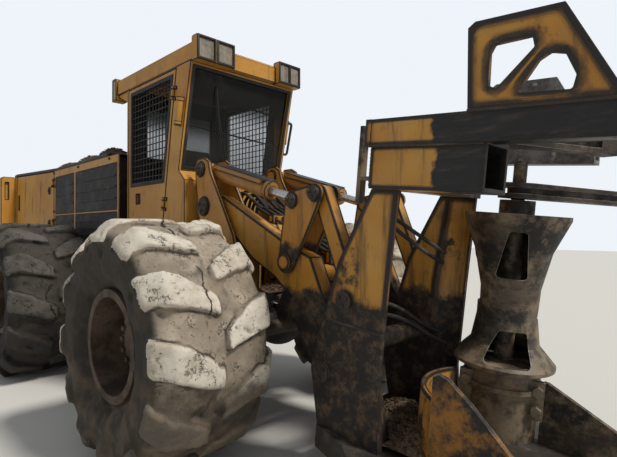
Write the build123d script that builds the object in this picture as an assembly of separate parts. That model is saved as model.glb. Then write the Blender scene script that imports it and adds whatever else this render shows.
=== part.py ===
from build123d import *
import math
import os

# Wheeled feller buncher: an articulated four-wheel carrier with a lift boom and a disc-saw felling head.
# Millimetres. While it is built, X is 0 at the front axle and grows forward, Y grows to the left,
# and Z is 0 on the ground. At the end all is moved along X so that the origin is under the middle.

os.makedirs("parts", exist_ok=True)

# Clearances
SEAT = 0.3            # a piece beside what carries it
RUNNING = 0.08        # round a pin in its bore, on the radius
SIDE = 8.0            # between two plates that swing past each other
DOOR_GAP = 8.0        # round a door in its opening
ARM_GAP = 12.0        # under an arm that swings over a plate

# Door hinges: round knuckles on short straps, outside the panels
HINGE_OUT = 16.0
KNUCKLE_RADIUS = 15.0
KNUCKLE_PIN = 9.0
KNUCKLE_HALF = 34.0
STRAP_LENGTH = 42.0
STRAP_THICK = 12.0

# Wheels
WHEELBASE = 2950.0
TRACK = 2240.0
TYRE_DIAMETER = 1700.0
TYRE_WIDTH = 860.0
LUG_HEIGHT = 62.0
LUGS_PER_SIDE = 12
BEAD_DIAMETER = 680.0
RIM_FLANGE_DIAMETER = 740.0
RIM_WIDTH = 700.0
RIM_WALL = 22.0
HUB_RADIUS = 195.0
SPINDLE_RADIUS = 110.0
AXLE_RADIUS = 150.0
DIFFERENTIAL_RADIUS = 235.0

# Room on each side between the middle and the tyres, and the two axles' places
ROOM = TRACK / 2 - TYRE_WIDTH / 2
REAR_X = -WHEELBASE

# Articulation
HINGE_X = REAR_X / 2
HINGE_PIN_RADIUS = 50.0
EAR_RADIUS = 120.0
EAR_PLATE = 30.0
TONGUE_PLATE = 44.0
LOWER_HINGE_Z = 760.0
UPPER_HINGE_Z = 1190.0

# Frames
PLATE = 30.0
AXLE_Z = TYRE_DIAMETER / 2
PAD_TOP = AXLE_Z + 170.0
FRAME_LOW = 700.0
DECK_TOP = 1300.0
FRONT_FRAME_REAR = HINGE_X + 275
REAR_FRAME_FRONT = REAR_X + 900
REAR_HALF = ROOM - 100

# Boom carriers and boom, side view X, Z
ARM_Y = 400.0
ARM_THICK = 120.0
TOWER_GAP = 180.0
TOWER_PLATE = 30.0
TOWER_TOP_PIN = (-420.0, 2130.0)
BOOM_PIVOT = (-370.0, 1810.0)
LIFT_BASE = (-400.0, 1180.0)
LIFT_EYE = (570.0, 1020.0)
LEVER_PIVOT = (630.0, 1380.0)
LEVER_REAR = (700.0, 1810.0)
LEVER_FRONT = (915.0, 1850.0)
HEAD_UPPER_PIN = (1190.0, 1170.0)
HEAD_PIN = (1000.0, 690.0)
PIN_RADIUS = 45.0
TILT_BARREL_RADIUS = 66.0
TILT_ROD_RADIUS = 34.0
LIFT_BARREL_RADIUS = 62.0
LIFT_ROD_RADIUS = 36.0

# Cab
CAB_HALF = ROOM - 90
WALL = 45.0
CAB_REAR = -1700.0
CAB_FRONT = -560.0
CAB_TOP = 3065.0
ROOF_HEIGHT = 170.0
ROOF_REAR = -2000.0
ROOF_FRONT = -410.0
SHIELD_LOW = (-660.0, 2140.0)
SHIELD_HIGH = (-460.0, CAB_TOP - 25)

# Engine body: straight between the rear wheels, then wider behind them
HOOD_HALF = ROOM - 30
TAIL_HALF = HOOD_HALF + 190
HOOD_FRONT = REAR_FRAME_FRONT - PLATE
CHEEK_FRONT = -1765.0
FLARE_X = REAR_X - 900
HOOD_REAR = REAR_X - 2100
HOOD_LOW = 1400.0
HOOD_TOP = 2455.0
SHEET = 40.0
COOLER_HALF = TAIL_HALF + 180
COOLER_LENGTH = 180.0
COOLER_LOW = 1250.0
COOLER_TOP = 2410.0

# Felling head, measured from its lower pin before it leans forward
HEAD_LEAN = 5.5
POST_IN = (295.0, 325.0)
POST_OUT = (475.0, 505.0)
POST_TOP = 1190.0
DECK_Z = -350.0
HEAD_FLOOR = -500.0
SAW_CENTRE = 780.0
SAW_RADIUS = 740.0
SAW_TEETH = 18
COLUMN = (760.0, 450.0)
CLAMP_HUB = (800.0, -335.0)

CYLINDER_END = (Align.CENTER, Align.CENTER, Align.MIN)


def block(x, y, z):
    """A box from its low and high value along each axis."""
    middle = [(a[0] + a[1]) / 2 for a in (x, y, z)]
    return Pos(*middle) * Box(*[abs(a[1] - a[0]) for a in (x, y, z)])


def side_plate(outline, y_low, y_high):
    """A flat outline in the side view, X and Z, given its thickness along Y."""
    return Pos(0, y_high, 0) * extrude(Plane.XZ * outline, amount=y_high - y_low, dir=(0, -1, 0))


def flat_plate(outline, z_low, z_high):
    """A flat outline seen from above, given its thickness along Z."""
    return Pos(0, 0, z_low) * extrude(outline, amount=z_high - z_low, dir=(0, 0, 1))


def shape(*points):
    return Polygon(*points, align=None)


def disc(centre, radius):
    return Pos(*centre) * Circle(radius)


def cross_pin(centre, radius, y_low, y_high):
    """A round bar along Y through a point of the side view."""
    length = y_high - y_low
    turned = Rot(90, 0, 0) * Cylinder(radius, length)
    return Pos(centre[0], (y_low + y_high) / 2, centre[1]) * turned


def upright(centre, radius, z_low, z_high):
    return Pos(centre[0], centre[1], (z_low + z_high) / 2) * Cylinder(radius, z_high - z_low)


def both_sides(thing):
    return [thing, mirror(thing, about=Plane.XZ)]


def joined(things):
    total = things[0]
    for thing in things[1:]:
        total = total + thing
    return total


def apart(things):
    """Solids that don't touch, kept as they are in one sub-part."""
    solids = []
    for thing in things:
        solids.extend(thing.solids())
    return Compound(solids)


def distance(a, b):
    return math.hypot(b[0] - a[0], b[1] - a[1])


def along(a, b, length):
    """The point that lies this far from a towards b."""
    share = length / distance(a, b)
    return (a[0] + (b[0] - a[0]) * share, a[1] + (b[1] - a[1]) * share)


def side_bar(a, b, y, radius):
    """A round bar between two points of the side view."""
    start = Vector(a[0], y, a[1])
    direction = Vector(b[0] - a[0], 0, b[1] - a[1])
    return Plane(origin=start, z_dir=direction) * Cylinder(radius, distance(a, b), align=CYLINDER_END)


def knuckles(place, heights):
    """Hinges at these heights of a door's axis: what the wall carries, and what the door carries.
    In the place's own axes the door lies towards -X, the wall towards +X, and outside is +Y."""
    strap_y = (-HINGE_OUT - 1, -HINGE_OUT + STRAP_THICK)
    wall_side = []
    door_side = []
    for z in heights:
        low = z - KNUCKLE_HALF
        high = z + KNUCKLE_HALF
        leaf = upright((0, 0), KNUCKLE_RADIUS, low, high) + block((-STRAP_LENGTH, 0), strap_y, (low, high))
        door_side.append(leaf - upright((0, 0), KNUCKLE_PIN + RUNNING, low - 5, high + 5))
        for start, end in ((low - 26, low - 2), (high + 2, high + 26)):
            wall_side.append(upright((0, 0), KNUCKLE_RADIUS, start, end))
            wall_side.append(block((0, STRAP_LENGTH), strap_y, (start, end)))
        wall_side.append(upright((0, 0), KNUCKLE_PIN, low - 26, high + 26))
    return [place * thing for thing in wall_side], [place * thing for thing in door_side]


pieces = {}

# Tyres: a ring of straight facets with chevron lugs fused on, so that it stays light.
TYRE_FACETS = 2 * LUGS_PER_SIDE
CROWN_RADIUS = TYRE_DIAMETER / 2 - LUG_HEIGHT
# Each row is the distance from the middle of the tyre and the radius there.
CARCASS = (
    (-TYRE_WIDTH * 0.36, BEAD_DIAMETER / 2 + 36),
    (-TYRE_WIDTH * 0.48, BEAD_DIAMETER / 2 + 170),
    (-TYRE_WIDTH * 0.45, CROWN_RADIUS - 70),
    (-TYRE_WIDTH * 0.25, CROWN_RADIUS),
    (TYRE_WIDTH * 0.25, CROWN_RADIUS),
    (TYRE_WIDTH * 0.45, CROWN_RADIUS - 70),
    (TYRE_WIDTH * 0.48, BEAD_DIAMETER / 2 + 170),
    (TYRE_WIDTH * 0.36, BEAD_DIAMETER / 2 + 36),
)


def make_lug():
    """One chevron lug at the top of the tyre, on the +Y side. Its flat top ends at the tyre's radius."""
    half = TYRE_WIDTH / 2
    foot = CROWN_RADIUS - 150
    lug_length = 330.0
    reach = math.sqrt((TYRE_DIAMETER / 2) ** 2 - (lug_length / 2) ** 2)
    plan = shape((-165, half), (35, half), (165, 12), (40, 12), (-110, half * 0.55))
    body = flat_plate(plan, foot, reach)
    shoulder = shape(
        (half * 0.74, reach + 5), (half + 5, reach + 5), (half + 5, reach - 150), (half, reach - 120),
    )
    shoulder_cut = extrude(Plane.YZ * shoulder, amount=2 * lug_length, dir=(1, 0, 0))
    return body - Pos(-lug_length, 0, 0) * shoulder_cut


def make_tyre():
    rings = []
    for offset, radius in CARCASS:
        rings.append(Pos(0, 0, offset) * RegularPolygon(radius, TYRE_FACETS))
    carcass = Rot(90, 0, 0) * loft(rings, ruled=True)
    lug = make_lug()
    pitch = 360 / LUGS_PER_SIDE
    mirrored = mirror(lug, about=Plane.XZ)
    lugs = []
    for n in range(LUGS_PER_SIDE):
        lugs.append(Rot(0, n * pitch, 0) * lug)
        lugs.append(Rot(0, (n + 0.5) * pitch, 0) * mirrored)
    bore = RegularPolygon(BEAD_DIAMETER / 2, TYRE_FACETS, major_radius=False)
    return carcass + lugs - Rot(90, 0, 0) * extrude(bore, amount=TYRE_WIDTH / 2, both=True)


def make_rim():
    """A turned rim with a recessed dish and a planetary hub, its outer side towards +Y."""
    seat = BEAD_DIAMETER / 2 - SEAT
    half = TYRE_WIDTH * 0.36 + SEAT
    lip = RIM_WIDTH / 2
    dish = 70.0
    hub_in = -95.0
    hub_out = 190.0
    bore = SPINDLE_RADIUS + RUNNING
    section = shape(
        (bore, hub_in), (HUB_RADIUS, hub_in), (HUB_RADIUS, dish - 12), (seat - RIM_WALL, dish - 40),
        (seat - RIM_WALL, -lip), (RIM_FLANGE_DIAMETER / 2, -lip), (RIM_FLANGE_DIAMETER / 2, -half),
        (seat, -half), (seat, half), (RIM_FLANGE_DIAMETER / 2, half), (RIM_FLANGE_DIAMETER / 2, lip),
        (seat - RIM_WALL, lip), (seat - RIM_WALL, dish + 10), (HUB_RADIUS, dish + 14),
        (HUB_RADIUS - 10, hub_out - 20), (HUB_RADIUS - 60, hub_out), (0, hub_out), (0, 60), (bore, 60),
    )
    turned = revolve(Plane.XZ * section, Axis.Z)
    return Rot(-90, 0, 0) * turned


WHEELS = (
    # name, X of its axle, side
    ("front_right", 0.0, -1),
    ("front_left", 0.0, 1),
    ("rear_right", REAR_X, -1),
    ("rear_left", REAR_X, 1),
)
left_tyre = make_tyre()
left_rim = make_rim()
for wheel, axle_x, side in WHEELS:
    place = Pos(axle_x, side * TRACK / 2, AXLE_Z)
    for kind, model in (("tyre", left_tyre), ("rim", left_rim)):
        turned = model if side > 0 else mirror(model, about=Plane.XZ)
        pieces[f"{kind}_{wheel}"] = place * turned


def make_axle(x):
    """Axle housing with its differential, a spindle in each hub and the pads that it is bolted by."""
    hub_face = TRACK / 2 - 110
    tube = cross_pin((x, AXLE_Z), AXLE_RADIUS, -hub_face, hub_face)
    spindle = cross_pin((x, AXLE_Z), SPINDLE_RADIUS, -TRACK / 2 - 45, TRACK / 2 + 45)
    bowl = Pos(x, 0, AXLE_Z) * Sphere(DIFFERENTIAL_RADIUS)
    pads = []
    for side in (-1, 1):
        y = sorted((side * (REAR_HALF - 160), side * (REAR_HALF - 5)))
        pads.append(block((x - 150, x + 150), y, (AXLE_Z, PAD_TOP)))
    return joined([tube, spindle, bowl] + pads)


pieces["front_axle"] = make_axle(0)
pieces["rear_axle"] = make_axle(REAR_X)

# Front frame: two side plates over the axle, a deck for the cab, and the fork ears of the hinge.
TOWER_OUT = ARM_Y + TOWER_GAP / 2 + TOWER_PLATE
TOWER_IN = ARM_Y - TOWER_GAP / 2 - TOWER_PLATE
FRONT_HALF = TOWER_OUT + SEAT + PLATE
TOWER_FLOOR = 1045.0
STEER_BASE = (HINGE_X + 725, 330.0)
STEER_EYE = (HINGE_X - 125, 310.0)
STEER_Z = 960.0
STEER_BARREL_RADIUS = 48.0
STEER_ROD_RADIUS = 26.0
STEER_FORK = 40.0

side_outline = shape(
    (FRONT_FRAME_REAR, FRAME_LOW), (-300, FRAME_LOW), (-230, PAD_TOP + SEAT), (230, PAD_TOP + SEAT),
    (270, 790), (420, 790), (460, 1000), (380, 1180), (120, DECK_TOP), (FRONT_FRAME_REAR, DECK_TOP),
)
frame_sides = both_sides(side_plate(side_outline, FRONT_HALF - PLATE, FRONT_HALF))
inner = FRONT_HALF - PLATE
rear_wall = block((FRONT_FRAME_REAR, FRONT_FRAME_REAR + PLATE), (-inner, inner), (FRAME_LOW, DECK_TOP))
steer_window = block(
    (FRONT_FRAME_REAR - 5, FRONT_FRAME_REAR + PLATE + 5), (120, 470), (STEER_Z - 85, STEER_Z + 85),
)
rear_wall = rear_wall - both_sides(steer_window)
MID_WALL_X = STEER_BASE[0] + 110
mid_wall = block((MID_WALL_X, MID_WALL_X + PLATE), (-inner, inner), (FRAME_LOW, DECK_TOP))
deck = block((CAB_REAR + 60, -610), (-inner, inner), (DECK_TOP - PLATE, DECK_TOP))
belly = block((FRONT_FRAME_REAR, -300), (-inner, inner), (FRAME_LOW, FRAME_LOW + PLATE))
tower_floors = both_sides(block((-620, -50), (200, inner), (PAD_TOP + 5, TOWER_FLOOR)))
front_tube = cross_pin((345, 860), 55, -inner, inner)


def hinge_plan(radius, root_x, root_half):
    """The hinge's plate from above: a round eye at the pin that widens towards its frame."""
    sign = 1 if root_x > HINGE_X else -1
    arm = shape(
        (HINGE_X, radius), (root_x, root_half), (root_x + sign * 5, root_half),
        (root_x + sign * 5, -root_half), (root_x, -root_half), (HINGE_X, -radius),
    )
    return arm + disc((HINGE_X, 0), radius)


ear_plan = hinge_plan(EAR_RADIUS, FRONT_FRAME_REAR, 240)
ear_gap = TONGUE_PLATE / 2 + SIDE
ears = []
for z in (LOWER_HINGE_Z, UPPER_HINGE_Z):
    ears.append(flat_plate(ear_plan, z + ear_gap, z + ear_gap + EAR_PLATE))
    ears.append(flat_plate(ear_plan, z - ear_gap - EAR_PLATE, z - ear_gap))
    ears.append(upright((HINGE_X, 0), HINGE_PIN_RADIUS, z - ear_gap - 10, z + ear_gap + 10))
steer_forks = []
for side in (-1, 1):
    for low, high in ((-STEER_FORK - 25, -STEER_FORK), (STEER_FORK, STEER_FORK + 25)):
        y = side * STEER_BASE[1]
        plan = block((STEER_BASE[0], MID_WALL_X + 5), (y - 60, y + 60), (STEER_Z + low, STEER_Z + high))
        eye = upright((STEER_BASE[0], y), 60, STEER_Z + low, STEER_Z + high)
        steer_forks.append(plan + eye)
    steer_forks.append(upright((STEER_BASE[0], side * STEER_BASE[1]), 28, STEER_Z - 60, STEER_Z + 60))
pieces["front_frame"] = joined(
    frame_sides + [rear_wall, mid_wall, deck, belly, front_tube] + tower_floors + ears + steer_forks
)

# Boom carriers: four upright plates that hold the tilt rams, the boom and the lift rams.
tower_outline = (
    shape((-560, TOWER_FLOOR + SEAT), (100, TOWER_FLOOR + SEAT), (110, 1330), (40, 1570), (-285, 2100),
          (-310, 2190), (-370, 2225), (-470, 2225), (-510, 2180), (-505, 2060), (-440, 1640), (-520, 1330))
    + disc(BOOM_PIVOT, 120)
)
tower_plates = []
for low in (TOWER_IN, TOWER_OUT - TOWER_PLATE):
    tower_plates.append(side_plate(tower_outline, low, low + TOWER_PLATE))
for centre, radius, cap in ((TOWER_TOP_PIN, 38, 62), (BOOM_PIVOT, PIN_RADIUS, 78), (LIFT_BASE, 40, 60)):
    ends = 0 if centre == LIFT_BASE else 16
    tower_plates.append(cross_pin(centre, radius, TOWER_IN - 16, TOWER_OUT + ends))
    if ends:
        tower_plates.append(cross_pin(centre, cap, TOWER_OUT, TOWER_OUT + ends))
    tower_plates.append(cross_pin(centre, cap, TOWER_IN - 16, TOWER_IN))
right_tower = mirror(joined(tower_plates), about=Plane.XZ)
tower_tie = cross_pin((-440, 1560), 60, -TOWER_IN, TOWER_IN)
pieces["boom_towers"] = joined([right_tower, joined(tower_plates), tower_tie])

# Boom: two arms in side view, tied by tubes, with a fork for each lift ram.
arm_outline = (
    shape((-370, 1920), (-190, 1890), (600, 1510), (840, 1420), (950, 1180), (1060, 1000), (1120, 690),
          (880, 690), (860, 720), (690, 960), (560, 940), (490, 1040), (580, 1180), (480, 1260), (210, 1390),
          (-80, 1610), (-370, 1700))
    + disc(BOOM_PIVOT, 110) + disc(HEAD_PIN, 120) + disc(LIFT_EYE, 82)
    - disc(BOOM_PIVOT, PIN_RADIUS + RUNNING) - disc(HEAD_PIN, PIN_RADIUS + RUNNING)
)
arm = side_plate(arm_outline, ARM_Y - ARM_THICK / 2, ARM_Y + ARM_THICK / 2)
lift_slot = 76.0
slot_outline = shape((380, 820), (700, 880), (680, 1130), (560, 1150), (380, 1230))
arm = arm - side_plate(slot_outline, ARM_Y - lift_slot / 2, ARM_Y + lift_slot / 2)
lever_pin_reach = 118.0
lever_pin = cross_pin(LEVER_PIVOT, 42, ARM_Y - lever_pin_reach, ARM_Y + lever_pin_reach)
lever_caps = []
for side in (-1, 1):
    y = sorted((ARM_Y + side * (lever_pin_reach - 14), ARM_Y + side * lever_pin_reach))
    lever_caps.append(cross_pin(LEVER_PIVOT, 60, y[0], y[1]))
right_arm = joined([arm, lever_pin] + lever_caps)
arm_inner = ARM_Y - ARM_THICK / 2
boom_ties = [
    cross_pin((150, 1590), 75, -arm_inner, arm_inner),
    cross_pin((790, 1300), 60, -arm_inner, arm_inner),
    cross_pin((830, 930), 55, -arm_inner, arm_inner),
]

# Steel lines along the boom, clamped in bars on the tie tubes.
line_route = ((-60, 1800), (845, 1405), (965, 1150))
LINE_RADIUS = 13.0


def line_bundle(radius):
    lines = []
    for n in range(6):
        y = -190 + 76 * n
        path = FilletPolyline(*[(x, y, z) for x, z in line_route], radius=90)
        lines.append(sweep(Plane(origin=path @ 0, z_dir=path % 0) * Circle(radius), path=path))
    return lines


pieces["boom_lines"] = apart(line_bundle(LINE_RADIUS))
clamp_bars = [
    block((125, 185), (-225, 225), (1640, 1736)),
    block((760, 815), (-225, 225), (1340, 1460)),
]
clamp_bars = joined(clamp_bars) - line_bundle(LINE_RADIUS + SEAT)
pieces["boom"] = joined([right_arm, mirror(right_arm, about=Plane.XZ)] + boom_ties) + clamp_bars

# Levers: two plates straddling each boom arm.
lever_inner = ARM_THICK / 2 + 10
lever_plate = 25.0
lever_outline = (
    make_hull(
        (disc(LEVER_PIVOT, 80) + disc(LEVER_REAR, 70) + disc((860, 1740), 60)).edges()
    )
    + make_hull((disc((860, 1740), 60) + disc(LEVER_FRONT, 62) + disc(LEVER_REAR, 70)).edges())
    - disc(LEVER_PIVOT, 42 + RUNNING)
)
lever_plates = []
for low in (ARM_Y - lever_inner - lever_plate, ARM_Y + lever_inner):
    lever_plates.append(side_plate(lever_outline, low, low + lever_plate))
link_pin_radius = 34.0
lever_face = lever_inner + lever_plate
link_pin_reach = lever_face + 14
lever_plates.append(cross_pin(LEVER_FRONT, link_pin_radius, ARM_Y - link_pin_reach, ARM_Y + link_pin_reach))
for side in (-1, 1):
    y = sorted((ARM_Y + side * lever_face, ARM_Y + side * (lever_face + 14)))
    lever_plates.append(cross_pin(LEVER_REAR, 48, y[0], y[1]))
    lever_plates.append(cross_pin(LEVER_FRONT, 48, y[0], y[1]))
lever = joined(lever_plates)
pieces["tilt_levers"] = apart(both_sides(lever))

# Links from the levers to the head.
link_half = 48.0
link_outline = (
    make_hull((disc(LEVER_FRONT, 58) + disc(HEAD_UPPER_PIN, 58)).edges())
    - disc(LEVER_FRONT, link_pin_radius + RUNNING)
)
link = side_plate(link_outline, ARM_Y - link_half, ARM_Y + link_half)
pieces["tilt_links"] = apart(both_sides(link))


def ram(base, eye, length, tail, barrel_radius, rod_radius, half_width, bore, y):
    """Barrel and rod of a ram in the side view, the rod's tail this far from the barrel's pin."""
    start = along(base, eye, barrel_radius * 0.9)
    gland = along(base, eye, length)
    collar = along(base, eye, length - 45)
    barrel = joined([
        side_bar(start, gland, y, barrel_radius),
        side_bar(collar, gland, y, barrel_radius + 9),
        cross_pin(base, barrel_radius * 0.95, y - half_width, y + half_width),
    ])
    barrel = barrel - cross_pin(base, bore, y - half_width - 20, y + half_width + 20)
    inside = along(base, eye, barrel_radius * 1.8)
    cavity = side_bar(inside, along(base, eye, length + 5), y, rod_radius + RUNNING)
    rod_tail = along(base, eye, tail)
    rod_eye = cross_pin(eye, rod_radius * 1.6, y - half_width, y + half_width)
    return barrel - cavity, side_bar(rod_tail, eye, y, rod_radius) + rod_eye


tilt_barrel, tilt_rod = ram(
    TOWER_TOP_PIN, LEVER_REAR, 830, 340, TILT_BARREL_RADIUS, TILT_ROD_RADIUS, 58, 38 + RUNNING, ARM_Y,
)
pieces["tilt_rods"] = apart(both_sides(tilt_rod))
lift_barrel, lift_rod = ram(
    LIFT_BASE, LIFT_EYE, 800, 320, LIFT_BARREL_RADIUS, LIFT_ROD_RADIUS, 32, 40 + RUNNING, ARM_Y,
)
pieces["lift_barrels"] = apart(both_sides(lift_barrel))
pieces["lift_rods"] = apart(both_sides(lift_rod))

# Guard plates welded over the tilt rams' barrels.
guard_start = along(TOWER_TOP_PIN, LEVER_REAR, 130)
guard_end = along(TOWER_TOP_PIN, LEVER_REAR, 780)
rise = TILT_BARREL_RADIUS - 3
tilt_slope = math.degrees(math.atan2(TOWER_TOP_PIN[1] - LEVER_REAR[1], LEVER_REAR[0] - TOWER_TOP_PIN[0]))
guard_frame = Pos(guard_start[0], 0, guard_start[1]) * Rot(0, tilt_slope, 0)
guard_length = distance(guard_start, guard_end)
guard_top = block((0, guard_length), (ARM_Y - 82, ARM_Y + 82), (rise, rise + 15))
guard_cheeks = [
    block((0, guard_length), (ARM_Y - 82, ARM_Y - 72), (rise - 30, rise + 15)),
    block((0, guard_length), (ARM_Y + 72, ARM_Y + 82), (rise - 30, rise + 15)),
]
tilt_barrel = tilt_barrel + guard_frame * joined([guard_top] + guard_cheeks)
pieces["tilt_barrels"] = apart(both_sides(tilt_barrel))


def steer_ram(side):
    """One steering ram, flat, between the two frames."""
    base = (STEER_BASE[0], STEER_Z)
    eye = (STEER_EYE[0], STEER_Z)
    yaw = math.degrees(math.atan2(STEER_EYE[1] - STEER_BASE[1], STEER_BASE[0] - STEER_EYE[0]))
    reach = math.hypot(STEER_EYE[0] - STEER_BASE[0], STEER_EYE[1] - STEER_BASE[1])
    barrel = Rot(0, -90, 0) * Cylinder(STEER_BARREL_RADIUS, 450, align=CYLINDER_END)
    neck = Rot(0, -90, 0) * Cylinder(32, 90, align=CYLINDER_END)
    barrel = Pos(-78, 0, 0) * barrel + neck + upright((0, 0), 52, -34, 34)
    cavity = Rot(0, -90, 0) * Cylinder(STEER_ROD_RADIUS + RUNNING, 500, align=CYLINDER_END)
    cavity = Pos(-110, 0, 0) * cavity
    barrel = barrel - cavity - upright((0, 0), 28 + RUNNING, -50, 50)
    rod = Pos(-370, 0, 0) * Rot(0, -90, 0) * Cylinder(STEER_ROD_RADIUS, reach - 370, align=CYLINDER_END)
    rod = rod + upright((-reach, 0), 44, -34, 34)
    place = Pos(base[0], STEER_BASE[1], base[1]) * Rot(0, 0, -yaw)
    made = [place * barrel, place * rod]
    if side < 0:
        made = [mirror(thing, about=Plane.XZ) for thing in made]
    return made


for side, name in ((-1, "right"), (1, "left")):
    barrel, rod = steer_ram(side)
    pieces[f"steer_barrel_{name}"] = barrel
    pieces[f"steer_rod_{name}"] = rod

# Rear frame: hinge tongues that widen to the side plates, which arch over the axle.
rear_outline = shape(
    (REAR_FRAME_FRONT, 1250), (REAR_FRAME_FRONT, 780), (REAR_X + 290, 740), (REAR_X + 230, PAD_TOP + SEAT),
    (REAR_X - 230, PAD_TOP + SEAT), (REAR_X - 290, 740), (HOOD_REAR + 230, 740), (HOOD_REAR, 900),
    (HOOD_REAR, HOOD_LOW - SEAT), (HOOD_FRONT, HOOD_LOW - SEAT),
)
rear_sides = both_sides(side_plate(rear_outline, REAR_HALF - PLATE, REAR_HALF))
rear_in = REAR_HALF - PLATE
tongue_plan = hinge_plan(EAR_RADIUS, REAR_FRAME_FRONT, REAR_HALF - PLATE)
tongue_hole = upright((HINGE_X, 0), HINGE_PIN_RADIUS + RUNNING, 0, 2000)
tongues = []
for z in (LOWER_HINGE_Z, UPPER_HINGE_Z):
    tongues.append(flat_plate(tongue_plan, z - TONGUE_PLATE / 2, z + TONGUE_PLATE / 2) - tongue_hole)
low_face = LOWER_HINGE_Z + TONGUE_PLATE / 2
high_face = UPPER_HINGE_Z - TONGUE_PLATE / 2
root_x = REAR_FRAME_FRONT - 5
webs = both_sides(block((root_x, HINGE_X - 225), (85, 110), (low_face, high_face)))
bulkhead_low = LOWER_HINGE_Z - TONGUE_PLATE / 2
bulkhead = block((HOOD_FRONT, REAR_FRAME_FRONT), (-rear_in, rear_in), (bulkhead_low, 1250))
eye_forks = []
for side in (-1, 1):
    y = side * STEER_EYE[1]
    for low, high in ((-STEER_FORK - 20, -STEER_FORK), (STEER_FORK, STEER_FORK + 20)):
        plan = shape((root_x, side * 90), (root_x, y + side * 150), (STEER_EYE[0], y + side * 50),
                     (STEER_EYE[0], y - side * 50), (HINGE_X - 285, side * 90))
        ear = flat_plate(plan, STEER_Z + low, STEER_Z + high)
        eye_forks.append(ear + upright((STEER_EYE[0], y), 50, STEER_Z + low, STEER_Z + high))
cross_members = [
    block((REAR_X + 390, REAR_X + 450), (-rear_in, rear_in), (740, 1020)),
    block((REAR_X - 470, REAR_X - 390), (-rear_in, rear_in), (740, 1050)),
    block((REAR_X - 1490, REAR_X - 1410), (-rear_in, rear_in), (740, 1050)),
    block((HOOD_REAR, HOOD_REAR + PLATE), (-rear_in, rear_in), (900, 1150)),
    block((HOOD_REAR + 230, REAR_X - 290), (-rear_in, rear_in), (740, 740 + 20)),
    block((HOOD_FRONT - PLATE, HOOD_FRONT), (-rear_in, rear_in), (1220, HOOD_LOW - SEAT)),
]
pieces["rear_frame"] = joined(rear_sides + tongues + webs + [bulkhead] + cross_members + eye_forks)
pieces["engine_block"] = block((REAR_X - 1470, REAR_X - 410), (-380, 380), (1050 + SEAT, 1900))

# Counterweight across the rear, with a tow hitch hole.
WEIGHT_REAR = HOOD_REAR - COOLER_LENGTH
weight_plan = shape(
    (HOOD_REAR - SEAT, -REAR_HALF), (HOOD_REAR - SEAT, REAR_HALF), (WEIGHT_REAR + 30, REAR_HALF),
    (WEIGHT_REAR, REAR_HALF - 60), (WEIGHT_REAR, -REAR_HALF + 60), (WEIGHT_REAR + 30, -REAR_HALF),
)
HITCH_X = WEIGHT_REAR - 60
HITCH_RADIUS = 26.0
HITCH_PLATE = 40.0
hitch_plan = shape(
    (HITCH_X + 70, -110), (HITCH_X + 70, 110), (HITCH_X, 60), (HITCH_X, -60),
) + disc((HITCH_X, 0), 60) - disc((HITCH_X, 0), HITCH_RADIUS)
hitch = flat_plate(hitch_plan, 960, 960 + HITCH_PLATE)
pieces["counterweight"] = flat_plate(weight_plan, 860, COOLER_LOW - SEAT) + hitch

# Engine body from above.
body_plan = shape(
    (HOOD_REAR, -TAIL_HALF), (FLARE_X, -HOOD_HALF), (HOOD_FRONT, -HOOD_HALF),
    (HOOD_FRONT, HOOD_HALF), (FLARE_X, HOOD_HALF), (HOOD_REAR, TAIL_HALF),
)
POST_LOW = HOOD_LOW + 25 + SEAT
POST_HIGH = HOOD_TOP - SHEET - SEAT
hood = flat_plate(body_plan, HOOD_TOP - SHEET, HOOD_TOP)
pieces["hood_top"] = chamfer(hood.edges().group_by(Axis.Z)[-1], 22)
sill_room = block(
    (HOOD_REAR + 60, HOOD_FRONT - 60), (140 - HOOD_HALF, HOOD_HALF - 140), (HOOD_LOW - 5, HOOD_LOW + 30),
)
front_wall = block(
    (HOOD_FRONT - SHEET, HOOD_FRONT), (-HOOD_HALF + SHEET + SEAT, HOOD_HALF - SHEET - SEAT),
    (HOOD_LOW + 20, POST_HIGH),
)
pieces["body_sill"] = flat_plate(body_plan, HOOD_LOW, HOOD_LOW + 25) - sill_room + front_wall

# The flared sides are doors, hinged at the front edge. In their own axes they run towards -X.
flare_angle = math.degrees(math.atan2(TAIL_HALF - HOOD_HALF, FLARE_X - HOOD_REAR))
flare_length = math.hypot(TAIL_HALF - HOOD_HALF, FLARE_X - HOOD_REAR)
flare_place = Pos(FLARE_X, HOOD_HALF, 0) * Rot(0, 0, -flare_angle)
corner_length = 70.0
corner = block((-flare_length + 8, -flare_length + corner_length), (-SHEET, 0), (POST_LOW, POST_HIGH))
pieces["corner_posts"] = apart(both_sides(flare_place * corner))
door_end = -flare_length + corner_length + DOOR_GAP
engine_door = block((door_end, -DOOR_GAP), (-SHEET, 0), (POST_LOW + 8, POST_HIGH - 8))
latch = block((door_end + 50, door_end + 90), (-12, 5), (POST_LOW + 480, POST_LOW + 700))
rib = block((door_end + 30, -DOOR_GAP - 30), (-2, 6), (POST_LOW + 30, POST_LOW + 60))
ENGINE_HINGES = (1700.0, 2250.0)
hinge_at = Pos(-DOOR_GAP / 2, HINGE_OUT, 0)
bay_knuckles, engine_knuckles = knuckles(flare_place * hinge_at, ENGINE_HINGES)
engine_door = joined([flare_place * (engine_door - latch + rib)] + engine_knuckles)
pieces["engine_door_left"] = engine_door
pieces["engine_door_right"] = mirror(engine_door, about=Plane.XZ)

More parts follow.
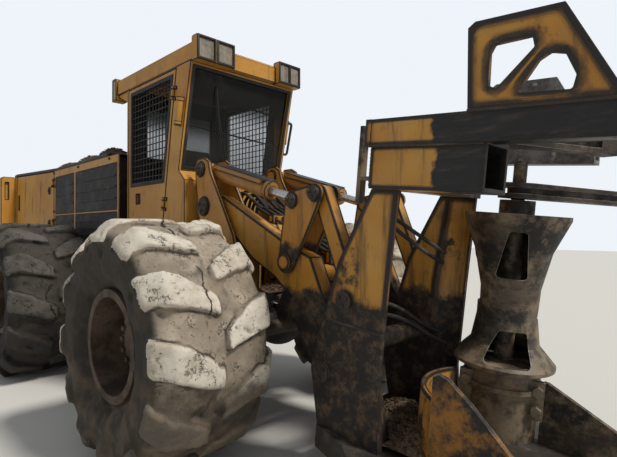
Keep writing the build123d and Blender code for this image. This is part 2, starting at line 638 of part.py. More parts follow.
# Cooling bay beside the rear wheels: posts, bands and a rib, with dark panels set into them.
BAY_POSTS = (
    # X from, X to
    (FLARE_X, FLARE_X + 60),
    (REAR_X - 140, REAR_X - 80),
    (CHEEK_FRONT - 45, CHEEK_FRONT),
)
BAY_BANDS = (
    # Z from, Z to
    (POST_LOW, POST_LOW + 50),
    (1800.0, 1830.0),
    (POST_HIGH - 95, POST_HIGH),
)
bay_y = (HOOD_HALF - SHEET, HOOD_HALF)
cheek_y = (HOOD_HALF - 12, HOOD_HALF)
bay_bars = []
for x_low, x_high in BAY_POSTS:
    y = cheek_y if x_low > HOOD_FRONT else bay_y
    bay_bars.append(block((x_low, x_high), y, (POST_LOW, POST_HIGH)))
for z_low, z_high in BAY_BANDS:
    bay_bars.append(block((FLARE_X, HOOD_FRONT), bay_y, (z_low, z_high)))
    bay_bars.append(block((HOOD_FRONT - 5, CHEEK_FRONT), cheek_y, (z_low, z_high)))
pieces["bay_frames"] = apart(both_sides(joined(bay_bars + bay_knuckles)))
PANEL_Y = (HOOD_HALF - 10, HOOD_HALF - 4)
panels = []
for (_, x_low), (x_high, _) in zip(BAY_POSTS, BAY_POSTS[1:]):
    for (_, z_low), (z_high, _) in zip(BAY_BANDS, BAY_BANDS[1:]):
        x = (x_low + SEAT, x_high - SEAT)
        z = (z_low + SEAT, z_high - SEAT)
        panel = [block(x, PANEL_Y, z)]
        for share in (0.25, 0.5, 0.75):
            middle = z[0] + (z[1] - z[0]) * share
            rib_y = (PANEL_Y[0], PANEL_Y[1] + 8)
            panel.append(block((x[0] + 40, x[1] - 40), rib_y, (middle - 12, middle + 12)))
        panels.append(joined(panel))
pieces["bay_screens"] = apart(panels + [mirror(panel, about=Plane.XZ) for panel in panels])

# Cooler housing: a shallow box across the tail with a slotted grille at its back.
cooler_x = (HOOD_REAR - COOLER_LENGTH, HOOD_REAR - SEAT)
cooler = block(cooler_x, (-COOLER_HALF, COOLER_HALF), (COOLER_LOW, COOLER_TOP))
cooler = chamfer(cooler.edges().filter_by(Axis.X).group_by(Axis.Z)[-1], 30)
room_y = (60 - TAIL_HALF, TAIL_HALF - 60)
cooler = cooler - block((cooler_x[0] + SHEET, HOOD_REAR + 5), room_y, (HOOD_LOW + 40, COOLER_TOP - SHEET))
slot_x = (cooler_x[0] - 5, cooler_x[0] + SHEET + 5)
slot_y = (150 - TAIL_HALF, TAIL_HALF - 150)
SLOT_PITCH = 62.0
SLOT_COUNT = 14
for n in range(SLOT_COUNT):
    z = HOOD_LOW + 60 + n * SLOT_PITCH
    cooler = cooler - block(slot_x, slot_y, (z, z + 36))
lamp_slot = block((HOOD_REAR - 30, HOOD_REAR + 5), (COOLER_HALF - 100, COOLER_HALF - 55), (2070, 2330))
for slot in both_sides(lamp_slot):
    cooler = cooler - slot
pieces["rear_grille"] = cooler
EXHAUST = (REAR_X + 150, HOOD_HALF - 140)
pipe = upright(EXHAUST, 55, HOOD_TOP + SEAT, HOOD_TOP + 190)
pieces["exhaust"] = pipe - upright(EXHAUST, 46, HOOD_TOP + 60, HOOD_TOP + 200)

# Cab shell, from its side outline.
cab_outline = shape(
    (CAB_REAR, DECK_TOP + SEAT), (CAB_FRONT, DECK_TOP + SEAT), (CAB_FRONT, 2050), SHIELD_LOW, SHIELD_HIGH,
    (SHIELD_HIGH[0] + 5, CAB_TOP), (CAB_REAR, CAB_TOP),
)
room_outline = shape(
    (CAB_REAR + WALL, DECK_TOP + WALL), (CAB_FRONT - WALL, DECK_TOP + WALL), (CAB_FRONT - WALL, 2030),
    (SHIELD_LOW[0] - 52, SHIELD_LOW[1] - 25), (SHIELD_HIGH[0] - 49, SHIELD_HIGH[1] + 8),
    (SHIELD_HIGH[0] - 44, CAB_TOP + 10), (CAB_REAR + WALL, CAB_TOP + 10),
)
DOOR_TOP = CAB_TOP - 15
DOOR_LOW = 1350.0
HINGE_TOP = (-700.0, DOOR_TOP)
HINGE_LOW = (-930.0, 1750.0)
door_slant = (HINGE_TOP[0] - HINGE_LOW[0]) / (HINGE_TOP[1] - HINGE_LOW[1])


def door_front(z):
    """X of the door's slanted front edge at a height."""
    return HINGE_LOW[0] + (z - HINGE_LOW[1]) * door_slant


def door_shape(inset, low, high):
    rear = CAB_REAR + 40 + inset
    return shape(
        (rear, low), (door_front(low) - inset, low), (door_front(high) - inset, high), (rear, high),
    )


cab = side_plate(cab_outline, -CAB_HALF, CAB_HALF)
cab = cab - side_plate(room_outline, -CAB_HALF + WALL, CAB_HALF - WALL)
opening = door_shape(-DOOR_GAP, DOOR_LOW - DOOR_GAP, DOOR_TOP + DOOR_GAP)
for side in (-1, 1):
    y = sorted((side * (CAB_HALF - WALL - 10), side * (CAB_HALF + 10)))
    cab = cab - side_plate(opening, y[0], y[1])
GLASS_LOW = 2160.0
GLASS_HIGH = CAB_TOP - 35
GLASS_HALF = CAB_HALF - 50
REAR_GLASS_HALF = CAB_HALF - 200
REAR_GLASS_HIGH = CAB_TOP - 165
cab = cab - block((-900, -300), (-GLASS_HALF, GLASS_HALF), (GLASS_LOW, GLASS_HIGH))
rear_glass_y = (-REAR_GLASS_HALF, REAR_GLASS_HALF)
cab = cab - block((CAB_REAR - 10, CAB_REAR + WALL + 10), rear_glass_y, (GLASS_LOW, REAR_GLASS_HIGH))
HINGE_START = 1850.0
cab_hinge_place = Plane(
    origin=(door_front(HINGE_START) + DOOR_GAP / 2, CAB_HALF + HINGE_OUT, HINGE_START),
    x_dir=(1, 0, -door_slant), z_dir=(door_slant, 0, 1),
)
# Distances up the slanted axis from there.
CAB_HINGES = (0.0, CAB_TOP - 2065)
cab_knuckles, door_knuckles = knuckles(cab_hinge_place, CAB_HINGES)
for knuckle in cab_knuckles:
    cab = cab + knuckle + mirror(knuckle, about=Plane.XZ)
pieces["cab_body"] = cab

shield_slant = (SHIELD_HIGH[0] - SHIELD_LOW[0]) / (SHIELD_HIGH[1] - SHIELD_LOW[1])


def shield_x(z):
    return SHIELD_LOW[0] + (z - SHIELD_LOW[1]) * shield_slant


pane_low = GLASS_LOW + SEAT
pane_high = GLASS_HIGH - SEAT
glass_outline = shape(
    (shield_x(pane_low) - 34, pane_low), (shield_x(pane_low) - 20, pane_low),
    (shield_x(pane_high) - 20, pane_high), (shield_x(pane_high) - 34, pane_high),
)
windshield = side_plate(glass_outline, -GLASS_HALF + SEAT, GLASS_HALF - SEAT)
rear_window = block(
    (CAB_REAR + 16, CAB_REAR + 28), (SEAT - REAR_GLASS_HALF, REAR_GLASS_HALF - SEAT),
    (GLASS_LOW + SEAT, REAR_GLASS_HIGH - SEAT),
)
pieces["cab_glass"] = apart([windshield, rear_window])

# Cab doors, each with a mesh screen in its window.
WINDOW_INSET = 44.0
WINDOW_LOW = 2050.0
window = door_shape(WINDOW_INSET, WINDOW_LOW, DOOR_TOP - 40)
handle_box = block((-1500, -1400), (CAB_HALF - 25, CAB_HALF + 5), (1870, 1970))
door = side_plate(door_shape(0, DOOR_LOW, DOOR_TOP), CAB_HALF - WALL, CAB_HALF)
door = door - side_plate(window, CAB_HALF - WALL - 5, CAB_HALF + 5) - handle_box
# The slanted hinge lifts the door's inner top corner while it turns out of the wall, so that corner is cut.
RELIEF_DEPTH = 8.0
RELIEF_LENGTH = 70.0
RELIEF_SKIN = 12.0
relief_x = (door_front(DOOR_TOP) - RELIEF_LENGTH, door_front(DOOR_TOP) + 10)
relief_y = (CAB_HALF - WALL - 5, CAB_HALF - RELIEF_SKIN)
door = door - block(relief_x, relief_y, (DOOR_TOP - RELIEF_DEPTH, DOOR_TOP + 5))
door = joined([door] + door_knuckles)
pieces["cab_door_left"] = door
pieces["cab_door_right"] = mirror(door, about=Plane.XZ)
MESH_PITCH = 62.0
MESH_FRAME = 34.0
frame_out = door_shape(WINDOW_INSET + SEAT, WINDOW_LOW + SEAT, DOOR_TOP - 40 - SEAT)
frame_in = door_shape(WINDOW_INSET + MESH_FRAME, WINDOW_LOW + MESH_FRAME, DOOR_TOP - 40 - MESH_FRAME)
screen = side_plate(frame_out - frame_in, CAB_HALF - 30, CAB_HALF + 4)
mesh_low = WINDOW_LOW + MESH_FRAME - 4
mesh_high = DOOR_TOP - 40 - MESH_FRAME + 4
mesh_rear = CAB_REAR + 40 + WINDOW_INSET + MESH_FRAME - 4
mesh_inset = WINDOW_INSET + MESH_FRAME - 8
z = mesh_low + MESH_PITCH * 0.75
while z < mesh_high - 15:
    wire_x = (mesh_rear, door_front(z) - mesh_inset)
    screen = screen + block(wire_x, (CAB_HALF - 14, CAB_HALF - 6), (z - 4, z + 4))
    z += MESH_PITCH
x = mesh_rear + MESH_PITCH * 0.75
while x < door_front(mesh_high) - mesh_inset:
    low = mesh_low
    if x > door_front(mesh_low) - mesh_inset:
        low = HINGE_LOW[1] + (x + mesh_inset - HINGE_LOW[0]) / door_slant
    screen = screen + block((x - 4, x + 4), (CAB_HALF - 21, CAB_HALF - 13), (low, mesh_high))
    x += MESH_PITCH
pieces["door_screen_left"] = screen
pieces["door_screen_right"] = mirror(screen, about=Plane.XZ)

# Roof with its lamp housings.
roof = block((ROOF_REAR, ROOF_FRONT), (-CAB_HALF, CAB_HALF), (CAB_TOP + SEAT, CAB_TOP + ROOF_HEIGHT))
roof = chamfer(roof.edges().group_by(Axis.Z)[-1], 28)
roof = roof - block(
    (CAB_REAR + WALL, -520), (-CAB_HALF + WALL, CAB_HALF - WALL), (CAB_TOP - 5, CAB_TOP + 130),
)
LAMP_LOW = CAB_TOP - 12
LAMP_HIGH = CAB_TOP + 200
LAMP_BOXES = (
    # X from, X to, Y from, Y to
    (ROOF_FRONT - 30, ROOF_FRONT + 60, -CAB_HALF, 385 - CAB_HALF),
    (ROOF_FRONT - 30, ROOF_FRONT + 60, CAB_HALF - 280, CAB_HALF),
    (ROOF_REAR - 40, ROOF_REAR + 60, -CAB_HALF - 20, 100 - CAB_HALF),
    (ROOF_REAR - 40, ROOF_REAR + 60, CAB_HALF - 100, CAB_HALF + 20),
)
for x_low, x_high, y_low, y_high in LAMP_BOXES:
    top = LAMP_HIGH if x_low > CAB_REAR else CAB_TOP + ROOF_HEIGHT + 10
    low = LAMP_LOW if x_low > CAB_REAR else CAB_TOP - 60
    housing = block((x_low, x_high), (y_low, y_high), (low, top))
    roof = roof + chamfer(housing.edges().filter_by(Axis.Y).group_by(Axis.Z)[-1], 12)
gussets = []
for side in (-1, 1):
    y = sorted((side * (CAB_HALF - 40), side * (CAB_HALF - 15)))
    gusset = side_plate(shape((CAB_REAR - SEAT, CAB_TOP + 20), (CAB_REAR - 260, CAB_TOP + 20),
                              (CAB_REAR - 240, CAB_TOP - 20), (CAB_REAR - SEAT, CAB_TOP - 130)), y[0], y[1])
    gussets.append(gusset)
roof = joined([roof] + gussets)
lenses = []
LENSES = (
    # Y of the middle and width, at the front
    (95 - CAB_HALF, 150.0),
    (290 - CAB_HALF, 150.0),
    (CAB_HALF - 210, 112.0),
    (CAB_HALF - 75, 112.0),
)
lamp_face = ROOF_FRONT + 60
LENS_RIM = 24.0
for y, width in LENSES:
    half = width / 2
    pocket_z = (LAMP_LOW + LENS_RIM, LAMP_HIGH - LENS_RIM)
    roof = roof - block((lamp_face - 24, lamp_face + 5), (y - half, y + half), pocket_z)
    lenses.append(block(
        (lamp_face - 24 + SEAT, lamp_face - 6), (y - half + 4, y + half - 4),
        (LAMP_LOW + LENS_RIM + 4, LAMP_HIGH - LENS_RIM - 4),
    ))
side_lens_low = CAB_TOP - 40
side_lens_high = CAB_TOP + ROOF_HEIGHT - 10
rear_pocket = block(
    (ROOF_REAR - 26, ROOF_REAR + 46), (CAB_HALF + 4, CAB_HALF + 25), (side_lens_low, side_lens_high),
)
rear_lens = block(
    (ROOF_REAR - 22, ROOF_REAR + 42), (CAB_HALF + 4 + SEAT, CAB_HALF + 16),
    (side_lens_low + 4, side_lens_high - 4),
)
for pocket, lens in zip(both_sides(rear_pocket), both_sides(rear_lens)):
    roof = roof - pocket
    lenses.append(lens)
pieces["cab_roof"] = roof
pieces["roof_lamps"] = apart(lenses)

# Seat and console.
seat = block((-1350, -1050), (-150, 150), (DECK_TOP + WALL + SEAT, 1700))
cushion = fillet(block((-1450, -950), (-260, 260), (1690, 1820)).edges(), 40)
back_shape = shape((-1460, 1780), (-1340, 1780), (-1420, 2480), (-1520, 2480))
backrest = fillet(side_plate(back_shape, -240, 240).edges(), 35)
pieces["seat"] = joined([seat, cushion, backrest])
consoles = []
for side in (-1, 1):
    y = sorted((side * 300, side * 460))
    body = block((-1400, -950), y, (DECK_TOP + WALL + SEAT, 1900))
    body = chamfer(body.edges().filter_by(Axis.Y).group_by(Axis.Z)[-1], 60)
    stick = upright((-1010, side * 380), 22, 1830, 2020)
    consoles.append(body + stick)
pieces["consoles"] = apart(consoles)

# Steps below the doors.
steps = []
for side in (-1, 1):
    y = sorted((side * (FRONT_HALF + SEAT), side * 740))
    step_side = []
    for x in (-1170, -940):
        step_side.append(block((x, x + 25), y, (760, 1240)))
    for z in (780, 980, 1180):
        step_side.append(block((-1150, -935), y, (z, z + 30)))
    steps.append(joined(step_side))
grab_high = CAB_TOP - 325
grab = FilletPolyline(
    (-640, CAB_HALF + SEAT, 2420), (-640, CAB_HALF + 80, 2420), (-560, CAB_HALF + 80, grab_high),
    (-560, CAB_HALF + SEAT, grab_high), radius=25,
)
steps.append(sweep(Plane(origin=grab @ 0, z_dir=grab % 0) * Circle(13), path=grab))
pieces["steps_and_grab"] = apart(steps)

# Felling head, built upright from its lower pin and then leaned.
lean = Pos(HEAD_PIN[0], 0, HEAD_PIN[1]) * Rot(0, HEAD_LEAN, 0)
turn = math.radians(HEAD_LEAN)
dx = HEAD_UPPER_PIN[0] - HEAD_PIN[0]
dz = HEAD_UPPER_PIN[1] - HEAD_PIN[1]
UPPER_IN_HEAD = (dx * math.cos(turn) - dz * math.sin(turn), dx * math.sin(turn) + dz * math.cos(turn))

POST_REAR = (
    # X, Z of the rear edge, from the deck up
    (-20.0, DECK_Z + SEAT),
    (-80.0, -110.0),
    (-108.0, 0.0),
    (-85.0, 130.0),
    (-45.0, 270.0),
    (60.0, 720.0),
    (280.0, POST_TOP),
)
POST_FRONT = (
    # Z, X of the outer plate's front edge, and how far the inner plate stops behind it
    (DECK_Z + SEAT, 470.0, 60.0),
    (-30.0, 430.0, 120.0),
    (570.0, 440.0, 150.0),
    (POST_TOP, 458.0, 110.0),
)
FACE_PLATE = 30.0
post = []
for (low, high), share in ((POST_IN, 1), (POST_OUT, 0)):
    front_edge = [(x - setback * share, z) for z, x, setback in reversed(POST_FRONT)]
    post.append(side_plate(shape(*POST_REAR, *front_edge), low, high))
face_rows = []
for z, x, setback in POST_FRONT:
    row = shape((x, POST_OUT[0] + 1), (x - FACE_PLATE, POST_OUT[0] + 1),
                (x - setback - FACE_PLATE, POST_IN[1] - 1), (x - setback, POST_IN[1] - 1))
    face_rows.append(Pos(0, 0, z) * row)
post.append(loft(face_rows, ruled=True))
post.append(cross_pin((0, 0), PIN_RADIUS, POST_IN[0] - 14, POST_OUT[1] + 14))
post.append(cross_pin((0, 0), 72, POST_OUT[1], POST_OUT[1] + 14))
post.append(cross_pin((0, 0), 72, POST_IN[0] - 14, POST_IN[0]))
post.append(cross_pin(UPPER_IN_HEAD, 52, POST_OUT[1], POST_OUT[1] + 14))
post = joined(post)
torsion_tube = cross_pin((235, 240), 62, -POST_IN[0] - 5, POST_IN[0] + 5)
pieces["head_posts"] = lean * joined([post, mirror(post, about=Plane.XZ), torsion_tube])

BAND_LOW = 1450.0
BAND_HIGH = 1580.0
BAND_OUT = 575.0
LEFT_BAND_END = 1180.0
ARM_PIN_RADIUS = 42.0
ARM_STACK = 100.0
COLLECT_LOW = POST_TOP + ARM_GAP
CLAMP_LOW = BAND_LOW + ARM_GAP
BOX_FRONT = 970.0
box_outer = block((290, BOX_FRONT), (-550, -280), (POST_TOP + SEAT, BAND_LOW))
box_inner = block((640, BOX_FRONT + 10), (-525, -305), (POST_TOP + 25, BAND_LOW - 25))
beam = block((290, 480), (-310, 505), (POST_TOP + SEAT, BAND_LOW - 15))
band_z = (BAND_LOW - 20, BAND_HIGH)
right_band = block((270, 1600), (-BAND_OUT, -450), band_z)
right_band = right_band + block((262, 300), (-BAND_OUT - 6, -440), band_z)
left_band = block((290, LEFT_BAND_END), (450, BAND_OUT), band_z)
left_band = left_band - block((330, LEFT_BAND_END + 5), (475, BAND_OUT - 25), (BAND_LOW + 5, BAND_HIGH + 5))
clamp_pin = [
    upright(CLAMP_HUB, ARM_PIN_RADIUS, BAND_LOW - 1, CLAMP_LOW + ARM_STACK + 16),
    upright(CLAMP_HUB, 66, CLAMP_LOW + ARM_STACK + 4, CLAMP_LOW + ARM_STACK + 18),
]
pieces["head_top_frame"] = lean * joined([box_outer - box_inner, beam, right_band, left_band] + clamp_pin)

horn_outline = shape(
    (871, BAND_HIGH + SEAT), (838, 1975), (872, 2000), (1264, 2000), (1526, BAND_HIGH + SEAT),
)
hole_rear = shape((962, 1690), (957, 1840), (975, 1876), (1143, 1883), (1157, 1833), (1001, 1671))
hole_front = shape((1094, 1640), (1179, 1774), (1224, 1800), (1284, 1786), (1335, 1689), (1325, 1632))
horn = horn_outline - fillet(hole_rear.vertices(), 11) - fillet(hole_front.vertices(), 14)
LEFT_HORN_SHIFT = -372.0
right_horn = side_plate(horn, -BAND_OUT, -BAND_OUT + 28)
left_horn = Pos(LEFT_HORN_SHIFT, 0, 0) * side_plate(horn, BAND_OUT - 25, BAND_OUT)
pieces["horns"] = lean * apart([right_horn, left_horn])

# Left column: a spool of sheet that carries the collecting arm.
column_profile = shape(
    (0, 110), (320, 110), (322, 132), (215, 250), (190, 420), (192, 620), (240, 860), (330, 1075),
    (330, 1100), (0, 1100),
)
column = revolve(Plane.XZ * column_profile, Axis.Z)
core_profile = shape(
    (0, 135), (285, 135), (192, 245), (168, 420), (170, 620), (216, 850), (300, 1075), (0, 1075),
)
column = column - revolve(Plane.XZ * core_profile, Axis.Z)
COLUMN_WINDOWS = (
    # direction round the column, height of the sill, width, height
    (296, 150, 290, 205),
    (292, 690, 190, 300),
    (200, 500, 170, 300),
    (25, 420, 150, 260),
)
for angle, sill_height, width, height in COLUMN_WINDOWS:
    window_outline = shape((-width / 2, 0), (width / 2, 0), (width * 0.38, height), (-width * 0.18, height))
    window_outline = fillet(window_outline.vertices(), 24)
    window_bar = extrude(Plane.YZ * window_outline, amount=420, dir=(1, 0, 0))
    column = column - Rot(0, 0, angle) * Pos(60, 0, sill_height) * window_bar
column = Pos(COLUMN[0], COLUMN[1], 0) * column
column = column - block((0, 506), (0, 900), (100, 1200))
shaft = [
    upright(COLUMN, 62, 134, POST_TOP - SEAT),
    upright(COLUMN, 110, 1100 - 5, POST_TOP - SEAT),
    upright(COLUMN, ARM_PIN_RADIUS, POST_TOP - 5, BAND_LOW - 20 - SEAT),
]
pieces["arm_column"] = lean * joined([column] + shaft)
drum = upright(COLUMN, 240, DECK_Z + SEAT, 110 - SEAT)
DRUM_FLANGE = 262.0
drum = drum + upright(COLUMN, DRUM_FLANGE, -30, 0)
# Two clamping plates on its front, each with two large nuts.
lug_parts = []
for side in (-1, 1):
    y = sorted((side * 160, side * 255))
    lug_parts.append(block((130, 165), y, (-190, 60)))
    for z in (-130, 0):
        nut = Rot(0, 90, 0) * extrude(RegularPolygon(34, 6), amount=30)
        lug_parts.append(Pos(164, side * 214, z) * nut)
LUG_DIRECTION = 292.0
for lug_part in lug_parts:
    drum = drum + Pos(COLUMN[0], COLUMN[1], 0) * Rot(0, 0, LUG_DIRECTION) * lug_part
drum = drum - block((0, 461), (0, 900), (-400, 200))
pieces["arm_motor_drum"] = lean * drum

# Saw housing: a top and a bottom plate round the disc, walled at the back and open in front.
housing_plan = Pos(SAW_CENTRE, 0) * Circle(SAW_RADIUS + 40)
housing_plan = housing_plan + shape((-20, -510), (700, -700), (700, 700), (-20, 510))
cut_front = shape((SAW_CENTRE + 560, -900), (1800, -900), (1800, 900), (SAW_CENTRE + 560, 900))
top_plan = housing_plan - cut_front
top_cover = flat_plate(top_plan, DECK_Z - 25, DECK_Z)
floor_plan = top_plan - shape((1000, -330), (1700, -330), (1700, 330), (1000, 330))
floor_plate = flat_plate(floor_plan, HEAD_FLOOR, HEAD_FLOOR + 20)
inner_plan = Pos(SAW_CENTRE, 0) * Circle(SAW_RADIUS + 15)
open_front = shape((900, -900), (1800, -900), (1800, 900), (900, 900))
wall = flat_plate(housing_plan - inner_plan - open_front, HEAD_FLOOR + 10, DECK_Z - 10)
SPINDLE = 60.0
spindle = upright((SAW_CENTRE, 0), SPINDLE, -470, DECK_Z - 20)
pieces["saw_housing"] = lean * joined([top_cover, floor_plate, wall, spindle])

saw_plan = Pos(SAW_CENTRE, 0) * Circle(SAW_RADIUS - 38)
saw = flat_plate(saw_plan, -440, -408)
tooth_plan = shape((SAW_RADIUS - 60, -26), (SAW_RADIUS, -34), (SAW_RADIUS - 4, 22), (SAW_RADIUS - 60, 36))
tooth = flat_plate(tooth_plan, -452, -396)
teeth = []
for n in range(SAW_TEETH):
    teeth.append(Pos(SAW_CENTRE, 0, 0) * Rot(0, 0, n * 360 / SAW_TEETH) * tooth)
saw_hub = upright((SAW_CENTRE, 0), 130, -470, -385)
saw_bore = upright((SAW_CENTRE, 0), SPINDLE + RUNNING, -475, -380)
pieces["saw_disc"] = lean * (saw + teeth + saw_hub - saw_bore)

# Pocket: the round collar at the back and the two wings beside the opening.
COLLAR = (950.0, -20.0)
collar_ring = disc(COLLAR, 450) - disc(COLLAR, 420)
reach = 700.0
sector = shape(
    COLLAR,
    *[(COLLAR[0] + reach * math.cos(math.radians(a)), COLLAR[1] + reach * math.sin(math.radians(a)))
      for a in (152, 175, 200, 225, 250)],
)
collar = flat_plate(collar_ring & sector, DECK_Z + SEAT, 60)
pieces["pocket_collar"] = lean * collar
WING_TOP = 40.0
WING_FRONT = 1720.0
wing_root = COLUMN[0] + DRUM_FLANGE + SEAT
wing_nose = ((WING_FRONT - 20, -250), (WING_FRONT, -300), (WING_FRONT, -345), (1345, DECK_Z + SEAT))
wing_foot = DECK_Z + SEAT
left_wing = shape((wing_root, wing_foot), (wing_root, WING_TOP), (1050, WING_TOP), (1415, -116), *wing_nose)
right_wing = shape(
    (784, wing_foot), (770, 215), (800, 238), (850, 228), (986, 139), (1199, -33), *wing_nose,
)
pieces["head_wings"] = lean * apart([side_plate(left_wing, 470, 500), side_plate(right_wing, -500, -470)])
guide = block((20, 50), (-330, -270), (1100, 1600)) + block((45, 289.7), (-330, -270), (1250, 1275))
pieces["hose_guide"] = lean * guide


def arm_plate(centre, angle, length, root, tip, z_low, z_high):
    """A flat arm from its hub towards an angle, narrowing to its tip."""
    plan = make_hull((Circle(root) + Pos(length, 0) * Circle(tip)).edges())
    return flat_plate(Pos(*centre) * Rot(0, 0, angle) * plan, z_low, z_high)


COLLECT_ANGLE = 61.0
CLAMP_ANGLE = 55.0
ARM_SHEET = 30.0


def swing_arm(centre, angle, length, root, low, tip):
    """Two plates and a web between them, bored for the pin that they swing on."""
    high = low + ARM_STACK
    web_low = low + ARM_SHEET - 1
    web_high = high - ARM_SHEET + 1
    made = joined([
        arm_plate(centre, angle, length, root, tip, low, low + ARM_SHEET),
        arm_plate(centre, angle, length, root, tip, high - ARM_SHEET, high),
        arm_plate(centre, angle, length - 40, root * 0.56, tip * 0.55, web_low, web_high),
    ])
    return made - upright(centre, ARM_PIN_RADIUS + RUNNING, low - 5, high + 5)


pieces["collecting_arm"] = lean * swing_arm(COLUMN, COLLECT_ANGLE, 900, 125, COLLECT_LOW, 55)
clamp = swing_arm(CLAMP_HUB, CLAMP_ANGLE, 760, 105, CLAMP_LOW, 50)
tip = Pos(*CLAMP_HUB) * Rot(0, 0, CLAMP_ANGLE) * Pos(790, 0, CLAMP_LOW + ARM_STACK / 2) * Box(110, 110, 108)
pieces["clamp_arm"] = lean * (clamp + tip)

# Everything is moved along X so that the origin lies under the middle of the whole machine.
boxes = [thing.bounding_box() for thing in pieces.values()]
X_LOW = min(box.min.X for box in boxes)
X_HIGH = max(box.max.X for box in boxes)
SHIFT = -(X_LOW + X_HIGH) / 2
Z_LOW = min(box.min.Z for box in boxes)
for name, thing in pieces.items():
    moved = Pos(SHIFT, 0, -Z_LOW) * thing
    export_step(moved, f"parts/{name}.step")
print("shift", round(SHIFT, 3), "X from", round(X_LOW, 1), "to", round(X_HIGH, 1))
print("Z from", round(Z_LOW, 2), "to", round(max(box.max.Z for box in boxes), 2))
print("pieces", len(pieces))
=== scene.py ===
# %% [markdown]
# A wheeled feller buncher after years of work: faded yellow paint with black grease, bare steel where logs
# rub, and tyres pale with dust. The solids come in as a fixed frame. This script adds finishes, bolts,
# hoses, weld beads and dirt. All is in metres, with X forward, Y to the machine's left and Z up.

# %% Load the frame
import math
import random

import bmesh
import bpy
from mathutils import Matrix, Vector, noise
from mathutils.bvhtree import BVHTree


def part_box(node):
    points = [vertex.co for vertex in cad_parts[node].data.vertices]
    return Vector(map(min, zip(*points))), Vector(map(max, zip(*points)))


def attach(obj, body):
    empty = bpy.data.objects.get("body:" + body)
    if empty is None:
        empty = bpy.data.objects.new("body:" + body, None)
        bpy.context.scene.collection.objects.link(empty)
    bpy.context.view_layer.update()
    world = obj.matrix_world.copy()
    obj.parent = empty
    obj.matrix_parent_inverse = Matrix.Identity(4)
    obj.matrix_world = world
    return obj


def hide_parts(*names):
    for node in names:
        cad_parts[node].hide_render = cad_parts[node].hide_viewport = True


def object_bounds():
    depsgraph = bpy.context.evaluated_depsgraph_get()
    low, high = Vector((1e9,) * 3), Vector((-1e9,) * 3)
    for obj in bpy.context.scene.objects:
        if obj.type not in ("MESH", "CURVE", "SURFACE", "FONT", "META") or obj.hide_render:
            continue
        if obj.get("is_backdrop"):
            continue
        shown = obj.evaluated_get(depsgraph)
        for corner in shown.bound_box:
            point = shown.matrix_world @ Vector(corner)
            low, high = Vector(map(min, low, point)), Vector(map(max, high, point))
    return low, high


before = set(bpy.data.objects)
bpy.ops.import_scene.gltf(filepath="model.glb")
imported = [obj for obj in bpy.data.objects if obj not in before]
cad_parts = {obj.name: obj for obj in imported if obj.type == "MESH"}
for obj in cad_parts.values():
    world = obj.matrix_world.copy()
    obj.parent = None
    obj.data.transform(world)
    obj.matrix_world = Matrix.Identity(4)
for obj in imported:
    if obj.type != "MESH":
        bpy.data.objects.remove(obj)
cad_box = [list(corner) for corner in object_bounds()]
random.seed(7)
print("frame from", cad_box[0], "to", cad_box[1])

# %% [markdown]
# The camera stands where the photographer stood: off the right front corner, at chest height, looking
# level across the front tyre to the cab. The lens follows from the solved focal length in pixels.

# %% Camera
FILM_WIDTH = 36
PICTURE_WIDTH = 617
FOCAL_PIXELS = 464
CAMERA_PLACE = (4.353, -2.70, 1.598)
CAMERA_PITCH = 90.3
CAMERA_YAW = 44.8

camera_data = bpy.data.cameras.new("camera")
camera_data.sensor_width = FILM_WIDTH
camera_data.lens = FILM_WIDTH * FOCAL_PIXELS / PICTURE_WIDTH
camera = bpy.data.objects.new("camera", camera_data)
camera.location = CAMERA_PLACE
camera.rotation_euler = (math.radians(CAMERA_PITCH), 0, math.radians(CAMERA_YAW))
bpy.context.collection.objects.link(camera)
bpy.context.scene.camera = camera
bpy.context.scene.view_settings.view_transform = "Standard"
print("lens", round(camera_data.lens, 2), "mm")

# %% [markdown]
# A finish is a node tree, and most finishes here are the same few moves: a noise, cut to patches, that
# lays one colour over another. A small class keeps those moves short, so that each material reads like a
# list of coats. Every pattern reads Object coordinates, which are true metres.

# %% Finish helper
EDGE_SAMPLES = 16
ROUNDING_SAMPLES = 4


